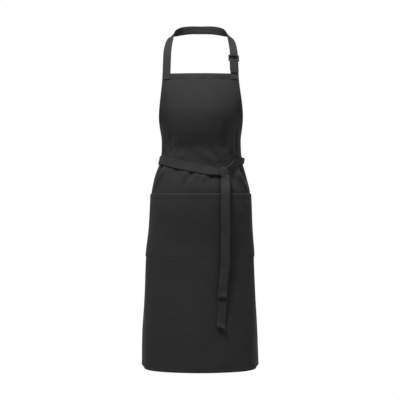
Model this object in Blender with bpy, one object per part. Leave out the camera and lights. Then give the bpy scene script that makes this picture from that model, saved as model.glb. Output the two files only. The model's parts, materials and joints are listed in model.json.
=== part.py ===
"""A charcoal cloth bib apron, shaped as it hangs on a wearer.

The front faces -Y, +X is the right-hand side seen from the front and +Z is up. The origin is the middle of
the waist, where the tied waist ties grip the wearer. Cloth pieces lie on a body form, given by a few stations
from the upper chest to the hem. Metres throughout.
"""

import functools
import math

import bmesh
import bpy
import numpy as np
from mathutils import Matrix, Vector

# The body form: height, half width, depths in front of and behind the origin, how square its outline is, and
# how far its middle is to the right
STATIONS = (
    (0.330, 0.190, 0.054, 0.100, 2.0, 0.0),
    (0.265, 0.190, 0.084, 0.100, 2.0, 0.0),
    (0.165, 0.1474, 0.118, 0.095, 2.0, 0.0018),
    (0.100, 0.1219, 0.110, 0.086, 2.0, 0.0021),
    (0.045, 0.1194, 0.100, 0.082, 2.0, 0.0027),
    (0.000, 0.1268, 0.100, 0.086, 2.0, 0.0016),
    (-0.040, 0.1390, 0.109, 0.098, 2.0, 0.0002),
    (-0.087, 0.1482, 0.117, 0.108, 2.05, 0.0009),
    (-0.190, 0.1542, 0.1203, 0.112, 2.12, 0.0006),
    (-0.280, 0.1632, 0.124, 0.114, 2.2, -0.0016),
    (-0.470, 0.1718, 0.137, 0.118, 2.4, -0.0015),
    (-0.600, 0.1728, 0.147, 0.120, 2.5, -0.0013),
)

# Cloth layers
CLOTH = 0.0008
HEM_CLOTH = 0.0007
STRAP_CLOTH = 0.0013
TIE_CLOTH = 0.0016
GAP = 0.0004
HEM_TRIM = 0.0012

# Cut of the front panel: heights, and half widths measured along the cloth
BIB_TOP = 0.265
WAIST_CORNER = 0.010
HEM_BOTTOM = -0.600
BIB_HALF = 0.1130
SKIRT_HALF = 0.300
ARMHOLE_POWER = 1.7
BIB_HEM = 0.018
EDGE_HEM = 0.012
PANEL_COLUMNS = 20
PANEL_ROWS = (
    0.265, 0.247, 0.220, 0.190, 0.160, 0.130, 0.100, 0.072, 0.046, 0.026, 0.010, -0.008, -0.026,
    -0.050, -0.087, -0.125, -0.170, -0.220, -0.272, -0.330, -0.390, -0.450, -0.520, -0.588, -0.600,
)

# Folds of the hanging skirt
FOLD_LENGTH = 0.150
FOLD_FRONT = 0.0012
FOLD_SIDE = 0.0050
FOLD_FROM = -0.050

# Pocket
POCKET_TOP = -0.087
POCKET_BOTTOM = -0.272
POCKET_HALF = 0.2304
POCKET_HEM = 0.016
POCKET_SEAM = 0.010
POCKET_STANDOFF = 0.0016
POCKET_GAPE = 0.0095
POCKET_EASE = 0.030
POCKET_FLAT_FROM = 0.090

# Neck strap, its slider and the tab below it
STRAP_WIDTH = 0.0245
STRAP_INSET = 0.0127
STRAP_LIFT = 0.0015
STRAP_LEAN = math.radians(-2.9)
STRAIGHT_RUN = 0.066
FOLD_LINE = 0.0010
SLIDER_FROM = 0.040
SLIDER_HEIGHT = 0.020
SLIDER_WIDTH = 0.0325
SLIDER_DEPTH = 0.0024
SLIDER_BAR = 0.003
SLIDER_CORNER = 0.0025
SLIDER_EDGE = 0.0004
LOWER_SLOT = 0.006
UPPER_SLOT = 0.005
SLOT_EASE = 0.0006
TAB_RETURN = 0.010
TAIL_FROM = 0.0014
TAIL_END = 0.0028
TAIL_LEAN = 0.0016
STRAP_END_HEM = 0.008

# The neck strap's way from the straight run to the middle of the neck: place, and degrees turned on edge
SHOULDER_WAY = (
    (0.0945, -0.0220, 0.3610, 20),
    (0.0855, 0.0060, 0.3900, 45),
    (0.0625, 0.0360, 0.4050, 72),
    (0.0320, 0.0540, 0.4126, 86),
    (0.0000, 0.0590, 0.4130, 90),
)
SHOULDER_TOE = 0.12
SHOULDER_STEPS = 5

# Waist ties, as (angle from the front in degrees, height) from the back round to the front
TIE_WIDTH = 0.025
TIE_LIFT = 0.0020
TIE_CROSSING = 0.0024
CROSSING_ANGLES = (40, 24)
TIE_STEP = 6
LEFT_TIE_WAY = ((210, -0.006), (180, 0.008), (150, 0.022), (90, 0.012), (52, 0.003), (36.6, -0.012))
RIGHT_TIE_WAY = (
    (210, -0.006), (180, 0.008), (150, 0.022), (90, 0.014), (62, 0.0115), (13, -0.009), (-21.6, -0.0245),
)

# Their knot and the two hanging ends
KNOT_AT = (0.0635, -0.023)
KNOT_SIZE = (0.026, 0.011, 0.023)
KNOT_YAW = math.radians(24)
KNOT_STANDOFF = 0.0088
KNOT_ROUND = 0.004
TAIL_X = 0.072
BACK_TAIL_END = -0.471
FRONT_TAIL_END = -0.384
BACK_TAIL_DRIFT = -0.013
FRONT_TAIL_DRIFT = -0.009
TAIL_DRIFT_FROM = -0.260
TAIL_CLEARANCE = 0.0036
TAIL_SPACING = 0.0046
TAIL_YAW = math.radians(6)
TAIL_ROWS = 16
POCKET_CLEARANCE = 0.004
HINGE_FORWARD = 0.004
HINGE_SPACING = 0.0022
HINGE_GAP = 0.0044
TIE_END_HEM = 0.011

CHARCOAL = 0.032
CHARCOAL_INSIDE = 0.028
SLIDER_BLACK = 0.012
CLOTH_ROUGHNESS = 0.9
SLIDER_ROUGHNESS = 0.45


def remove_all_objects():
    for old in list(bpy.data.objects):
        bpy.data.objects.remove(old, do_unlink=True)


def smooth_step(low, high, value):
    t = min(1.0, max(0.0, (value - low) / (high - low)))
    return t * t * (3 - 2 * t)


def smooth_through(stations, at):
    """The values at a place between stations, as (place, value, ...) in falling order, on a smooth curve."""
    places = [station[0] for station in stations]
    values = np.array([station[1:] for station in stations], float)
    last = len(places) - 1
    slopes = [(values[1] - values[0]) / (places[1] - places[0])]
    for i in range(1, last):
        slopes.append((values[i + 1] - values[i - 1]) / (places[i + 1] - places[i - 1]))
    slopes.append((values[last] - values[last - 1]) / (places[last] - places[last - 1]))
    i = next((k for k in range(last) if at >= places[k + 1]), last - 1)
    step = places[i + 1] - places[i]
    t = min(1.0, max(0.0, (at - places[i]) / step))
    start = values[i] * (2 * t**3 - 3 * t**2 + 1) + slopes[i] * step * (t**3 - 2 * t**2 + t)
    end = values[i + 1] * (3 * t**2 - 2 * t**3) + slopes[i + 1] * step * (t**3 - t**2)
    return start + end


@functools.lru_cache(maxsize=None)
def form_at(height):
    """Half width, front depth, back depth, squareness and sideways shift of the body form."""
    return tuple(smooth_through(STATIONS, height))


def form_outline(angle, height):
    """A point of the form at an angle from the front middle, and the way out from it."""
    half, front, back, square, shift = form_at(height)
    depth = front if math.cos(angle) >= 0 else back
    across = math.copysign(abs(math.sin(angle)) ** (2 / square), math.sin(angle))
    ahead = math.copysign(abs(math.cos(angle)) ** (2 / square), math.cos(angle))
    slope = math.copysign(abs(across) ** (square - 1), across) / half
    rise = math.copysign(abs(ahead) ** (square - 1), ahead) / depth
    return Vector((shift + half * across, -depth * ahead, height)), Vector((slope, -rise, 0)).normalized()


def on_form(angle, height, lift):
    """A point of the form at an angle from the front middle, moved out by lift."""
    at, outward = form_outline(angle, height)
    return at + outward * lift


def front_angle(across, height):
    """The angle at which the front of the form is this far from the middle."""
    half, _, _, square, shift = form_at(height)
    return math.asin(((across - shift) / half) ** (square / 2))


@functools.lru_cache(maxsize=None)
def contour_lengths(height):
    """Angles from the front middle to the back middle, and the length along the form up to each."""
    angles = np.linspace(0, math.pi, 361)
    points = np.array([form_outline(angle, height)[0] for angle in angles])
    return angles, np.concatenate([[0], np.cumsum(np.linalg.norm(np.diff(points, axis=0), axis=1))])


def fold_lift(along, height):
    """How far the skirt's folds move the cloth out."""
    size = FOLD_FRONT + FOLD_SIDE * (abs(along) / SKIRT_HALF) ** 2
    return size * smooth_step(FOLD_FROM, HEM_BOTTOM, height) * math.cos(math.tau * along / FOLD_LENGTH)


def on_cloth(along, height, lift):
    """A point at a length along the cloth from its middle, lift above the outer face of the front panel."""
    angles, lengths = contour_lengths(height)
    angle = math.copysign(float(np.interp(abs(along), lengths, angles)), along)
    return on_form(angle, height, lift + fold_lift(along, height))


def panel_half(height):
    """Half the cut width of the front panel: armhole curve above the waist corner, straight below it."""
    if height <= WAIST_CORNER:
        return SKIRT_HALF
    drop = (BIB_TOP - height) / (BIB_TOP - WAIST_CORNER)
    rise = 1 - (1 - drop**ARMHOLE_POWER) ** (1 / ARMHOLE_POWER)
    return BIB_HALF + (SKIRT_HALF - BIB_HALF) * rise


def rows_between(top, bottom):
    """The panel's rows between two heights, with those heights at the ends."""
    return [top, *(z for z in PANEL_ROWS if bottom + HEM_TRIM < z < top - HEM_TRIM), bottom]


def panel_columns(height):
    half = panel_half(height)
    inner = half - EDGE_HEM
    return [-half, *np.linspace(-inner, inner, PANEL_COLUMNS + 1), half]


def pocket_columns():
    inner = POCKET_HALF - POCKET_SEAM
    shared = (SKIRT_HALF - EDGE_HEM) * np.linspace(-1, 1, PANEL_COLUMNS + 1)
    return [-POCKET_HALF, -inner, *(s for s in shared if abs(s) < inner - HEM_TRIM), inner, POCKET_HALF]


def pocket_lift(along, height):
    """How far the pocket's inner face stands off the panel: sewn flat at its edges, gaping at its mouth."""
    across = smooth_step(POCKET_HALF - POCKET_SEAM, POCKET_FLAT_FROM, abs(along))
    up = smooth_step(POCKET_BOTTOM + POCKET_SEAM, POCKET_TOP - POCKET_EASE, height)
    return POCKET_STANDOFF + POCKET_GAPE * across * up


def material(name, grey, roughness):
    made = bpy.data.materials.new(name)
    made.use_nodes = True
    shader = made.node_tree.nodes["Principled BSDF"]
    shader.inputs["Base Color"].default_value = (grey, grey, grey, 1)
    shader.inputs["Roughness"].default_value = roughness
    shader.inputs["Metallic"].default_value = 0
    return made


def add_object(name, mesh, grey, roughness, parent):
    mesh.shade_smooth()
    made = bpy.data.objects.new(name, mesh)
    mesh.materials.append(material(name + "_material", grey, roughness))
    bpy.context.scene.collection.objects.link(made)
    made.parent = parent
    return made


def add_sheet(name, rows, thickness, parent, grey=CHARCOAL):
    """A sheet of cloth through rows of points in the parent's frame, with half its thickness on each side."""
    shape = bmesh.new()
    grid = [[shape.verts.new(point) for point in row] for row in rows]
    for upper, lower in zip(grid, grid[1:]):
        for k in range(len(upper) - 1):
            shape.faces.new((upper[k], lower[k], lower[k + 1], upper[k + 1]))
    mesh = bpy.data.meshes.new(name)
    shape.to_mesh(mesh)
    shape.free()
    made = add_object(name, mesh, grey, CLOTH_ROUGHNESS, parent)
    solid = made.modifiers.new("thickness", "SOLIDIFY")
    solid.thickness = thickness
    solid.offset = 0
    return made


def add_frame(name, parent, place):
    made = bpy.data.objects.new(name, None)
    made.empty_display_size = 0.02
    bpy.context.scene.collection.objects.link(made)
    made.parent = parent
    made.matrix_basis = place
    return made


def panel_sheet(name, columns_at, heights, lift, thickness, parent, grey=CHARCOAL):
    """A sheet on the cloth: its columns at each height, and its middle's distance above the panel's face."""
    rows = [[on_cloth(s, z, lift(s, z)) for s in columns_at(z)] for z in heights]
    return add_sheet(name, rows, thickness, parent, grey)


def add_front_panel(apron):
    panel_sheet("front_panel", panel_columns, PANEL_ROWS, lambda s, z: -CLOTH / 2, CLOTH, apron)


def add_panel_hems(apron):
    """The turned hems, inside the panel's edges."""

    def inside(along, height):
        return -CLOTH - GAP - HEM_CLOTH / 2

    def left_edge(height):
        return [-panel_half(height), EDGE_HEM - panel_half(height)]

    def right_edge(height):
        return [panel_half(height) - EDGE_HEM, panel_half(height)]

    armhole = rows_between(BIB_TOP - BIB_HEM - HEM_TRIM, WAIST_CORNER)
    side = rows_between(WAIST_CORNER - HEM_TRIM, HEM_BOTTOM + EDGE_HEM + HEM_TRIM)
    hems = (
        ("bib_top_hem", panel_columns, (BIB_TOP, BIB_TOP - BIB_HEM)),
        ("armhole_hem_left", left_edge, armhole),
        ("armhole_hem_right", right_edge, armhole),
        ("side_hem_left", left_edge, side),
        ("side_hem_right", right_edge, side),
        ("bottom_hem", panel_columns, (HEM_BOTTOM + EDGE_HEM, HEM_BOTTOM)),
    )
    for name, columns_at, heights in hems:
        panel_sheet(name, columns_at, heights, inside, HEM_CLOTH, apron, CHARCOAL_INSIDE)


def pocket_heights():
    return [POCKET_TOP, *rows_between(POCKET_TOP - POCKET_HEM, POCKET_BOTTOM + POCKET_SEAM), POCKET_BOTTOM]


def add_pocket(apron):
    """The patch pocket, the turned hem inside its mouth and its turned-under seam allowances."""
    heights = pocket_heights()
    columns = pocket_columns()

    def body(along, height):
        return pocket_lift(along, height) + CLOTH / 2

    def under_mouth(along, height):
        return pocket_lift(along, height) - GAP - HEM_CLOTH / 2

    def under_edge(along, height):
        return POCKET_STANDOFF - GAP - HEM_CLOTH / 2

    panel_sheet("pocket_panel", lambda z: columns, heights, body, CLOTH, apron)
    strips = (
        ("pocket_top_hem", columns, heights[:2], under_mouth),
        ("pocket_bottom_seam", columns, heights[-2:], under_edge),
        ("pocket_side_seam_left", columns[:2], heights[1:-1], under_edge),
        ("pocket_side_seam_right", columns[-2:], heights[1:-1], under_edge),
    )
    for name, strip, levels, lift in strips:
        trimmed = [levels[0] - HEM_TRIM, *levels[1:-1], levels[-1] + HEM_TRIM] if len(levels) > 2 else levels
        panel_sheet(name, lambda z, s=strip: s, trimmed, lift, HEM_CLOTH, apron, CHARCOAL_INSIDE)


def corner_frame(side):
    """The strap's frame on a bib corner: X across it, Y up it and Z off the cloth.

    side is 1 on the right, where X points away from the middle, and -1 on the left, where it points there.
    """
    along = BIB_HALF - STRAP_INSET
    at = on_cloth(along, BIB_TOP, 0)
    across = on_cloth(BIB_HALF, BIB_TOP, 0) - on_cloth(along - STRAP_INSET, BIB_TOP, 0)
    across.normalize()
    rise = at - on_cloth(along, BIB_TOP - BIB_HEM, 0)
    outward = across.cross(rise).normalized()
    across = Matrix.Rotation(STRAP_LEAN, 3, outward) @ across
    up = outward.cross(across)
    if side < 0:
        at, up, outward = (Vector((-v.x, v.y, v.z)) for v in (at, up, outward))
        across = up.cross(outward)
    turned = Matrix((across, up, outward)).transposed().to_4x4()
    return Matrix.Translation(at) @ turned


def smooth_way(points, steps):
    """Points on a smooth curve through the given ones, with this many steps between each two."""
    found = []
    last = len(points) - 1
    for i in range(last):
        before, start, end, after = (points[min(max(k, 0), last)] for k in (i - 1, i, i + 1, i + 2))
        for k in range(steps):
            t = k / steps
            bend = 2 * before - 5 * start + 4 * end - after
            turn = 3 * (start - end) + after - before
            found.append((2 * start + (end - before) * t + bend * t**2 + turn * t**3) / 2)
    return [*found, points[last]]


def add_ribbon(name, way, across, thickness, parent, grey=CHARCOAL):
    """A strap along a way of points, with its half width at each as a vector."""
    rows = [[point - half, point + half] for point, half in zip(way, across)]
    return add_sheet(name, rows, thickness, parent, grey)


def flat_ribbon(name, way, thickness, parent):
    """A strap in its corner's frame, along (height, distance off the cloth) points."""
    half = Vector((STRAP_WIDTH / 2, 0, 0))
    points = [Vector((0, up, off)) for up, off in way]
    return add_ribbon(name, points, [half] * len(points), thickness, parent)


def slider_levels():
    """Heights up the strap of the slider's lower, middle and upper bars, each at its lower edge."""
    middle = SLIDER_FROM + SLIDER_BAR + LOWER_SLOT
    return SLIDER_FROM, middle, middle + SLIDER_BAR + UPPER_SLOT


def wrap_distance():
    """From the middle of a slider bar to the middle of the strap that lies on it."""
    return SLIDER_DEPTH / 2 + GAP + STRAP_CLOTH / 2


def slider_plane():
    return STRAP_LIFT - wrap_distance()


def round_lower_bar(reach, turn):
    """A place on the way round the slider's lower bar, turned from its front towards its top."""
    top = SLIDER_FROM + SLIDER_BAR - SLIDER_DEPTH / 2
    return top + reach * math.sin(turn), slider_plane() + reach * math.cos(turn)


def over_tab():
    """From the middle of the lower bar to the middle of the neck strap that lies on the tab there."""
    return wrap_distance() + STRAP_CLOTH + GAP


def weave_points():
    """The neck strap's way down the slider: over the upper bar, behind the middle one and out again."""
    lower, middle, upper = slider_levels()
    back = slider_plane() - wrap_distance()
    points = [
        (STRAIGHT_RUN, STRAP_LIFT),
        (upper + SLIDER_BAR, STRAP_LIFT),
        (upper, STRAP_LIFT),
        ((upper + middle + SLIDER_BAR) / 2, slider_plane()),
        (middle + SLIDER_BAR, back),
        (middle, back),
    ]
    points += [round_lower_bar(over_tab(), math.radians(turn)) for turn in (60, 30, 0)]
    points.append((lower - TAIL_FROM, slider_plane() + over_tab()))
    return [Vector((0, up, off)) for up, off in points]


def shoulder_way(start, end):
    """The strap's middle line over the shoulders, between two straight runs given by two points each."""
    right = [Vector(place[:3]) for place in SHOULDER_WAY]
    left = [Vector((-point.x, point.y, point.z)) for point in right]
    way = smooth_way([*start, *left, *right[-2::-1], *end], SHOULDER_STEPS)
    return way[SHOULDER_STEPS:-SHOULDER_STEPS]


def shoulder_turns(start, end):
    """The way to the strap's outer edge at each point of that middle line."""
    right = []
    for place in SHOULDER_WAY:
        turn = math.radians(place[3])
        right.append(Vector((math.cos(turn), SHOULDER_TOE * math.cos(turn), -math.sin(turn))))
    left = [Vector((-way.x, way.y, way.z)) for way in right]
    turns = smooth_way([start, start, *left, *right[-2::-1], end, end], SHOULDER_STEPS)
    return turns[SHOULDER_STEPS:-SHOULDER_STEPS]


def add_neck_strap(left, right, loop):
    """The sewn end on the left corner, and the strap from there round the neck and through the slider."""
    sewn = ((-BIB_HEM, STRAP_LIFT), (FOLD_LINE - GAP, STRAP_LIFT))
    flat_ribbon("strap_anchor_left", sewn, STRAP_CLOTH, left)
    run = np.linspace(FOLD_LINE, STRAIGHT_RUN, 5)
    left_run = [left.matrix_basis @ Vector((0, up, STRAP_LIFT)) for up in run]
    right_run = [right.matrix_basis @ point for point in smooth_way(weave_points(), 3)]
    way = [*left_run[:-1], *shoulder_way(left_run[-2:], right_run[:2]), *right_run[1:]]
    left_turn = left.matrix_basis.to_3x3() @ Vector((-1, 0, 0))
    right_turn = right.matrix_basis.to_3x3() @ Vector((1, 0, 0))
    turns = [left_turn] * (len(left_run) - 1)
    turns += shoulder_turns(left_turn, right_turn)
    turns += [right_turn] * (len(right_run) - 1)
    halves = []
    for i, turn in enumerate(turns):
        ahead = (way[min(i + 1, len(way) - 1)] - way[max(i - 1, 0)]).normalized()
        square = turn - ahead * turn.dot(ahead)
        halves.append(square.normalized() * STRAP_WIDTH / 2)
    hinge = loop.matrix_basis.translation
    add_ribbon("neck_strap", [point - hinge for point in way], halves, STRAP_CLOTH, loop)


def add_slider_tab(right, loop_right):
    """The tab: its sewn end on the right corner, and its loop round the slider's lower bar."""
    sewn = ((-BIB_HEM, STRAP_LIFT), (FOLD_LINE - GAP, STRAP_LIFT))
    flat_ribbon("tab_anchor_right", sewn, STRAP_CLOTH, right)
    way = [(FOLD_LINE, STRAP_LIFT), (SLIDER_FROM / 2, STRAP_LIFT)]
    way += [round_lower_bar(wrap_distance(), turn) for turn in np.linspace(0, math.pi, 9)]
    way.append((TAB_RETURN, slider_plane() - wrap_distance()))
    flat_ribbon("slider_tab", way, STRAP_CLOTH, loop_right)


def add_box(name, low, high, grey, roughness, parent):
    shape = bmesh.new()
    size = Vector(high) - Vector(low)
    place = Matrix.Translation((Vector(high) + Vector(low)) / 2) @ Matrix.Diagonal(size).to_4x4()
    bmesh.ops.create_cube(shape, size=1, matrix=place)
    mesh = bpy.data.meshes.new(name)
    shape.to_mesh(mesh)
    shape.free()
    return add_object(name, mesh, grey, roughness, parent)


def add_slider(loop_right):
    """A plate with rounded corners and two slots, which leave three bars."""
    lower, middle, upper = slider_levels()
    half = SLIDER_WIDTH / 2
    depth = SLIDER_DEPTH / 2
    plane = slider_plane()
    low = (-half, lower, plane - depth)
    high = (half, lower + SLIDER_HEIGHT, plane + depth)
    plate = add_box("strap_slider", low, high, SLIDER_BLACK, SLIDER_ROUGHNESS, loop_right)
    shape = bmesh.new()
    shape.from_mesh(plate.data)
    corners = [e for e in shape.edges if abs(e.verts[0].co.z - e.verts[1].co.z) > depth]
    bmesh.ops.bevel(shape, geom=corners, offset=SLIDER_CORNER, segments=4, profile=0.5, affect="EDGES")
    shape.to_mesh(plate.data)
    shape.free()
    opening = STRAP_WIDTH / 2 + SLOT_EASE
    for name, start, end in (("lower_slot", lower, middle), ("upper_slot", middle, upper)):
        start_corner = (-opening, start + SLIDER_BAR, plane - SLIDER_DEPTH)
        end_corner = (opening, end, plane + SLIDER_DEPTH)
        cutter = add_box(name, start_corner, end_corner, SLIDER_BLACK, SLIDER_ROUGHNESS, loop_right)
        cutter.hide_render = True
        cutter.display_type = "WIRE"
        cut = plate.modifiers.new(name, "BOOLEAN")
        cut.operation = "DIFFERENCE"
        cut.object = cutter
    soft = plate.modifiers.new("edge", "BEVEL")
    soft.width = SLIDER_EDGE
    soft.segments = 1
    soft.limit_method = "ANGLE"
    plate.data.set_sharp_from_angle(angle=math.radians(40))


def add_strap_tail(feed):
    """The free run of the neck strap below the slider, and its end, folded to the back."""
    start = SLIDER_FROM - TAIL_FROM - GAP
    off = slider_plane() + over_tab()
    slope = TAIL_LEAN / (start - TAIL_END)
    way = [(up, off + slope * (start - up)) for up in np.linspace(start, TAIL_END, 5)]
    flat_ribbon("strap_tail", way, STRAP_CLOTH, feed)
    behind = (STRAP_CLOTH + HEM_CLOTH) / 2 + GAP
    fold = TAIL_END + STRAP_END_HEM
    hem = [(up, off + slope * (start - up) - behind) for up in (fold, TAIL_END)]
    flat_ribbon("strap_end_hem", hem, HEM_CLOTH, feed)


def add_waist_tie(name, way, side, crossing, parent):
    """A tie round the waist to the front, by the right side if side is 1 and by the left if it is -1."""
    first, last = way[0][0], way[-1][0]
    step = (first - last) / round((first - last) / TIE_STEP)
    rows = []
    for angle in np.arange(first, last - step / 2, -step):
        height = float(smooth_through(way, angle)[0])
        rise = float(smooth_through(way, max(last, angle - step))[0]) - height
        half = TIE_WIDTH / 2 * math.hypot(1, rise / (math.radians(step) * form_at(0)[0]))
        over = crossing * smooth_step(*CROSSING_ANGLES, abs(angle - 180))
        turn = math.radians(side * angle)
        rows.append([on_form(turn, height + up, TIE_LIFT + over) for up in (side * half, -side * half)])
    add_sheet(name, rows, TIE_CLOTH, parent)


def knot_place():
    """The knot's middle, turned with the cloth that it lies on."""
    across, height = KNOT_AT
    at = on_form(front_angle(across, height), height, KNOT_STANDOFF)
    return Matrix.Translation(at) @ Matrix.Rotation(KNOT_YAW, 4, "Z")


def add_knot(apron):
    half = Vector(KNOT_SIZE) / 2
    knot = add_box("waist_knot", -half, half, CHARCOAL, CLOTH_ROUGHNESS, apron)
    knot.matrix_basis = knot_place()
    soft = knot.modifiers.new("round", "BEVEL")
    soft.width = KNOT_ROUND
    soft.segments = 3


def tail_depth(height, layer):
    """The Y of a tie end's middle: clear of the cloth and the pocket behind its inner edge."""
    inner = TAIL_X - TIE_WIDTH / 2
    pocket = 0.0
    if POCKET_BOTTOM <= height <= POCKET_TOP:
        pocket = pocket_lift(inner, height) + CLOTH
    lift = pocket + TAIL_CLEARANCE + fold_lift(inner, height) + TIE_WIDTH / 2 * math.tan(TAIL_YAW)
    return on_form(front_angle(inner, height), height, lift).y - layer * TAIL_SPACING


def tail_hinge(layer):
    """The middle of a tie end's top edge, just under the knot."""
    knot = knot_place().translation
    forward = HINGE_FORWARD + layer * HINGE_SPACING
    return Vector((TAIL_X, knot.y - forward, knot.z - KNOT_SIZE[2] / 2 - HINGE_GAP))


def add_tie_tail(name, end, drift, layer, parent):
    """A tie end that hangs from the knot over the pocket, with its folded end behind it."""
    hinge = tail_hinge(layer)
    mouth = POCKET_TOP + POCKET_CLEARANCE
    seam = POCKET_BOTTOM - POCKET_CLEARANCE
    levels = [hinge.z, mouth, POCKET_TOP - POCKET_EASE, POCKET_BOTTOM + POCKET_EASE, seam, end]
    depths = [hinge.y, tail_depth(POCKET_TOP, layer)]
    for height in levels[2:]:
        depths.append(min(tail_depth(height, layer), depths[1]))
    depths[-1] = min(depths[-2:])

    def place(height):
        """X drifts to the middle below the pocket; Y runs straight between the levels."""
        y = float(np.interp(-height, [-z for z in levels], depths))
        x = hinge.x + drift * smooth_step(TAIL_DRIFT_FROM, end, height)
        return Vector((x, y, height)) - hinge

    half = Matrix.Rotation(TAIL_YAW, 3, "Z") @ Vector((TIE_WIDTH / 2, 0, 0))
    heights = np.linspace(hinge.z, end, TAIL_ROWS + 1)
    add_ribbon(name, [place(z) for z in heights], [half] * len(heights), TIE_CLOTH, parent)
    behind = Vector((0, (TIE_CLOTH + HEM_CLOTH) / 2 + GAP, 0))
    hem = [place(z) + behind for z in (end + TIE_END_HEM, end)]
    add_ribbon(name.replace("tail", "end_hem"), hem, [half] * 2, HEM_CLOTH, parent, CHARCOAL_INSIDE)


def main():
    remove_all_objects()
    apron = add_frame("apron", None, Matrix.Identity(4))
    left = add_frame("left_corner", apron, corner_frame(-1))
    right = add_frame("right_corner", apron, corner_frame(1))
    add_front_panel(apron)
    add_panel_hems(apron)
    add_pocket(apron)

    fold_at = right.matrix_basis @ Vector((-STRAP_WIDTH / 2, FOLD_LINE, STRAP_LIFT + STRAP_CLOTH / 2 + GAP))
    loop = add_frame("neck_loop", apron, Matrix.Translation((0, fold_at.y, fold_at.z)))
    loop_right = add_frame("loop_right", loop, loop.matrix_basis.inverted() @ right.matrix_basis)
    feed = add_frame("strap_feed", loop_right, Matrix.Identity(4))
    add_neck_strap(left, right, loop)
    add_slider_tab(right, loop_right)
    add_slider(loop_right)
    add_strap_tail(feed)

    add_waist_tie("waist_tie_left", LEFT_TIE_WAY, 1, 0, apron)
    add_waist_tie("waist_tie_right", RIGHT_TIE_WAY, -1, TIE_CROSSING, apron)
    add_knot(apron)
    back = add_frame("tie_back", apron, Matrix.Translation(tail_hinge(0)))
    front = add_frame("tie_front", back, Matrix.Translation(tail_hinge(1) - tail_hinge(0)))
    add_tie_tail("tie_tail_back", BACK_TAIL_END, BACK_TAIL_DRIFT, 0, back)
    add_tie_tail("tie_tail_front", FRONT_TAIL_END, FRONT_TAIL_DRIFT, 1, front)


main()
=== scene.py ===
"""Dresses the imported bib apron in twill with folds, hems and stitching, and sets it in a plain studio.

Each piece lies on the same body form as the solid that it stands for. The front faces -Y, +X is the right
seen from the front, +Z is up and the origin is the middle of the waist. Metres throughout.
"""

import functools
import json
import math

import bmesh
import bpy
import numpy as np
from bpy.props import FloatProperty, FloatVectorProperty, PointerProperty
from bpy.types import Operator, Panel, PropertyGroup
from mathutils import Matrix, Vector, noise

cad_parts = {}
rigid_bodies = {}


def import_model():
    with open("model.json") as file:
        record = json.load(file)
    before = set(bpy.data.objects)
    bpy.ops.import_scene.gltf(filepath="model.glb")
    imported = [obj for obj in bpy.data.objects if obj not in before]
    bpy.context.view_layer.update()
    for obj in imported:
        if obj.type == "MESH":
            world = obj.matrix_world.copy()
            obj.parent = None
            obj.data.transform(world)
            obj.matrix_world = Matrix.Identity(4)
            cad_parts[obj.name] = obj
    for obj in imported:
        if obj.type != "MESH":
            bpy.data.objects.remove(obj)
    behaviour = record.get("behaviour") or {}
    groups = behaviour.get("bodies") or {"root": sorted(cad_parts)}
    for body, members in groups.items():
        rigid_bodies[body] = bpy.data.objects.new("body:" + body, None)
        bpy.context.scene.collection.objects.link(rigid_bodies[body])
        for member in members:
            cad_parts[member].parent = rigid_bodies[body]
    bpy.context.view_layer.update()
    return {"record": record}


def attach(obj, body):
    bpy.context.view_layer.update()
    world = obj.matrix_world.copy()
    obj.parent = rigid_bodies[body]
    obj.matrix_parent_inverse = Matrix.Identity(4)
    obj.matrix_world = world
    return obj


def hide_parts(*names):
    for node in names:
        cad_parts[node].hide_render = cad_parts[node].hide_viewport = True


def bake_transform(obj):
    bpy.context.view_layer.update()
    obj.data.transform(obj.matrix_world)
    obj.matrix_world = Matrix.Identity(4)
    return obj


bl_info = {
    "name": "Bib Apron",
    "version": (1, 0, 0),
    "blender": (4, 5, 0),
    "location": "3D View > Sidebar > Apron",
    "description": "Sews a bib apron round its packed frame and sets it in a studio",
    "category": "Object",
}

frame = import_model()

# The body form: height, half width, depths in front of and behind the origin, how square its outline is, and
# how far its middle is to the right
WAIST_HALF = 0.1268
STATIONS = (
    (0.330, 0.190, 0.054, 0.100, 2.0, 0.0),
    (0.265, 0.190, 0.084, 0.100, 2.0, 0.0),
    (0.165, 0.1474, 0.118, 0.095, 2.0, 0.0018),
    (0.100, 0.1219, 0.110, 0.086, 2.0, 0.0021),
    (0.045, 0.1194, 0.100, 0.082, 2.0, 0.0027),
    (0.000, WAIST_HALF, 0.100, 0.086, 2.0, 0.0016),
    (-0.040, 0.1390, 0.109, 0.098, 2.0, 0.0002),
    (-0.087, 0.1482, 0.117, 0.108, 2.05, 0.0009),
    (-0.190, 0.1542, 0.1203, 0.112, 2.12, 0.0006),
    (-0.280, 0.1632, 0.124, 0.114, 2.2, -0.0016),
    (-0.470, 0.1718, 0.137, 0.118, 2.4, -0.0015),
    (-0.600, 0.1728, 0.147, 0.120, 2.5, -0.0013),
)
CONTOUR_ANGLES = 361

# Cloth layers, and the radius at which an edge is turned in
CLOTH = 0.0008
HEM_CLOTH = 0.0007
STRAP_CLOTH = 0.0013
TIE_CLOTH = 0.0016
GAP = 0.0004
TURN_RADIUS = (CLOTH + HEM_CLOTH) / 4 + GAP / 2
TURN_ANGLES = (45, 90, 135, 180)
HEM_TRIM = 0.0012
HEM_STITCH = 0.002
HEM_SLOPE = (0.0006, -0.0016)
WORN_EDGE = 0.0016
STRIP_COLUMNS = 5
BROAD_HEM_ROWS = 7
NARROW_HEM_ROWS = 6

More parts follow.
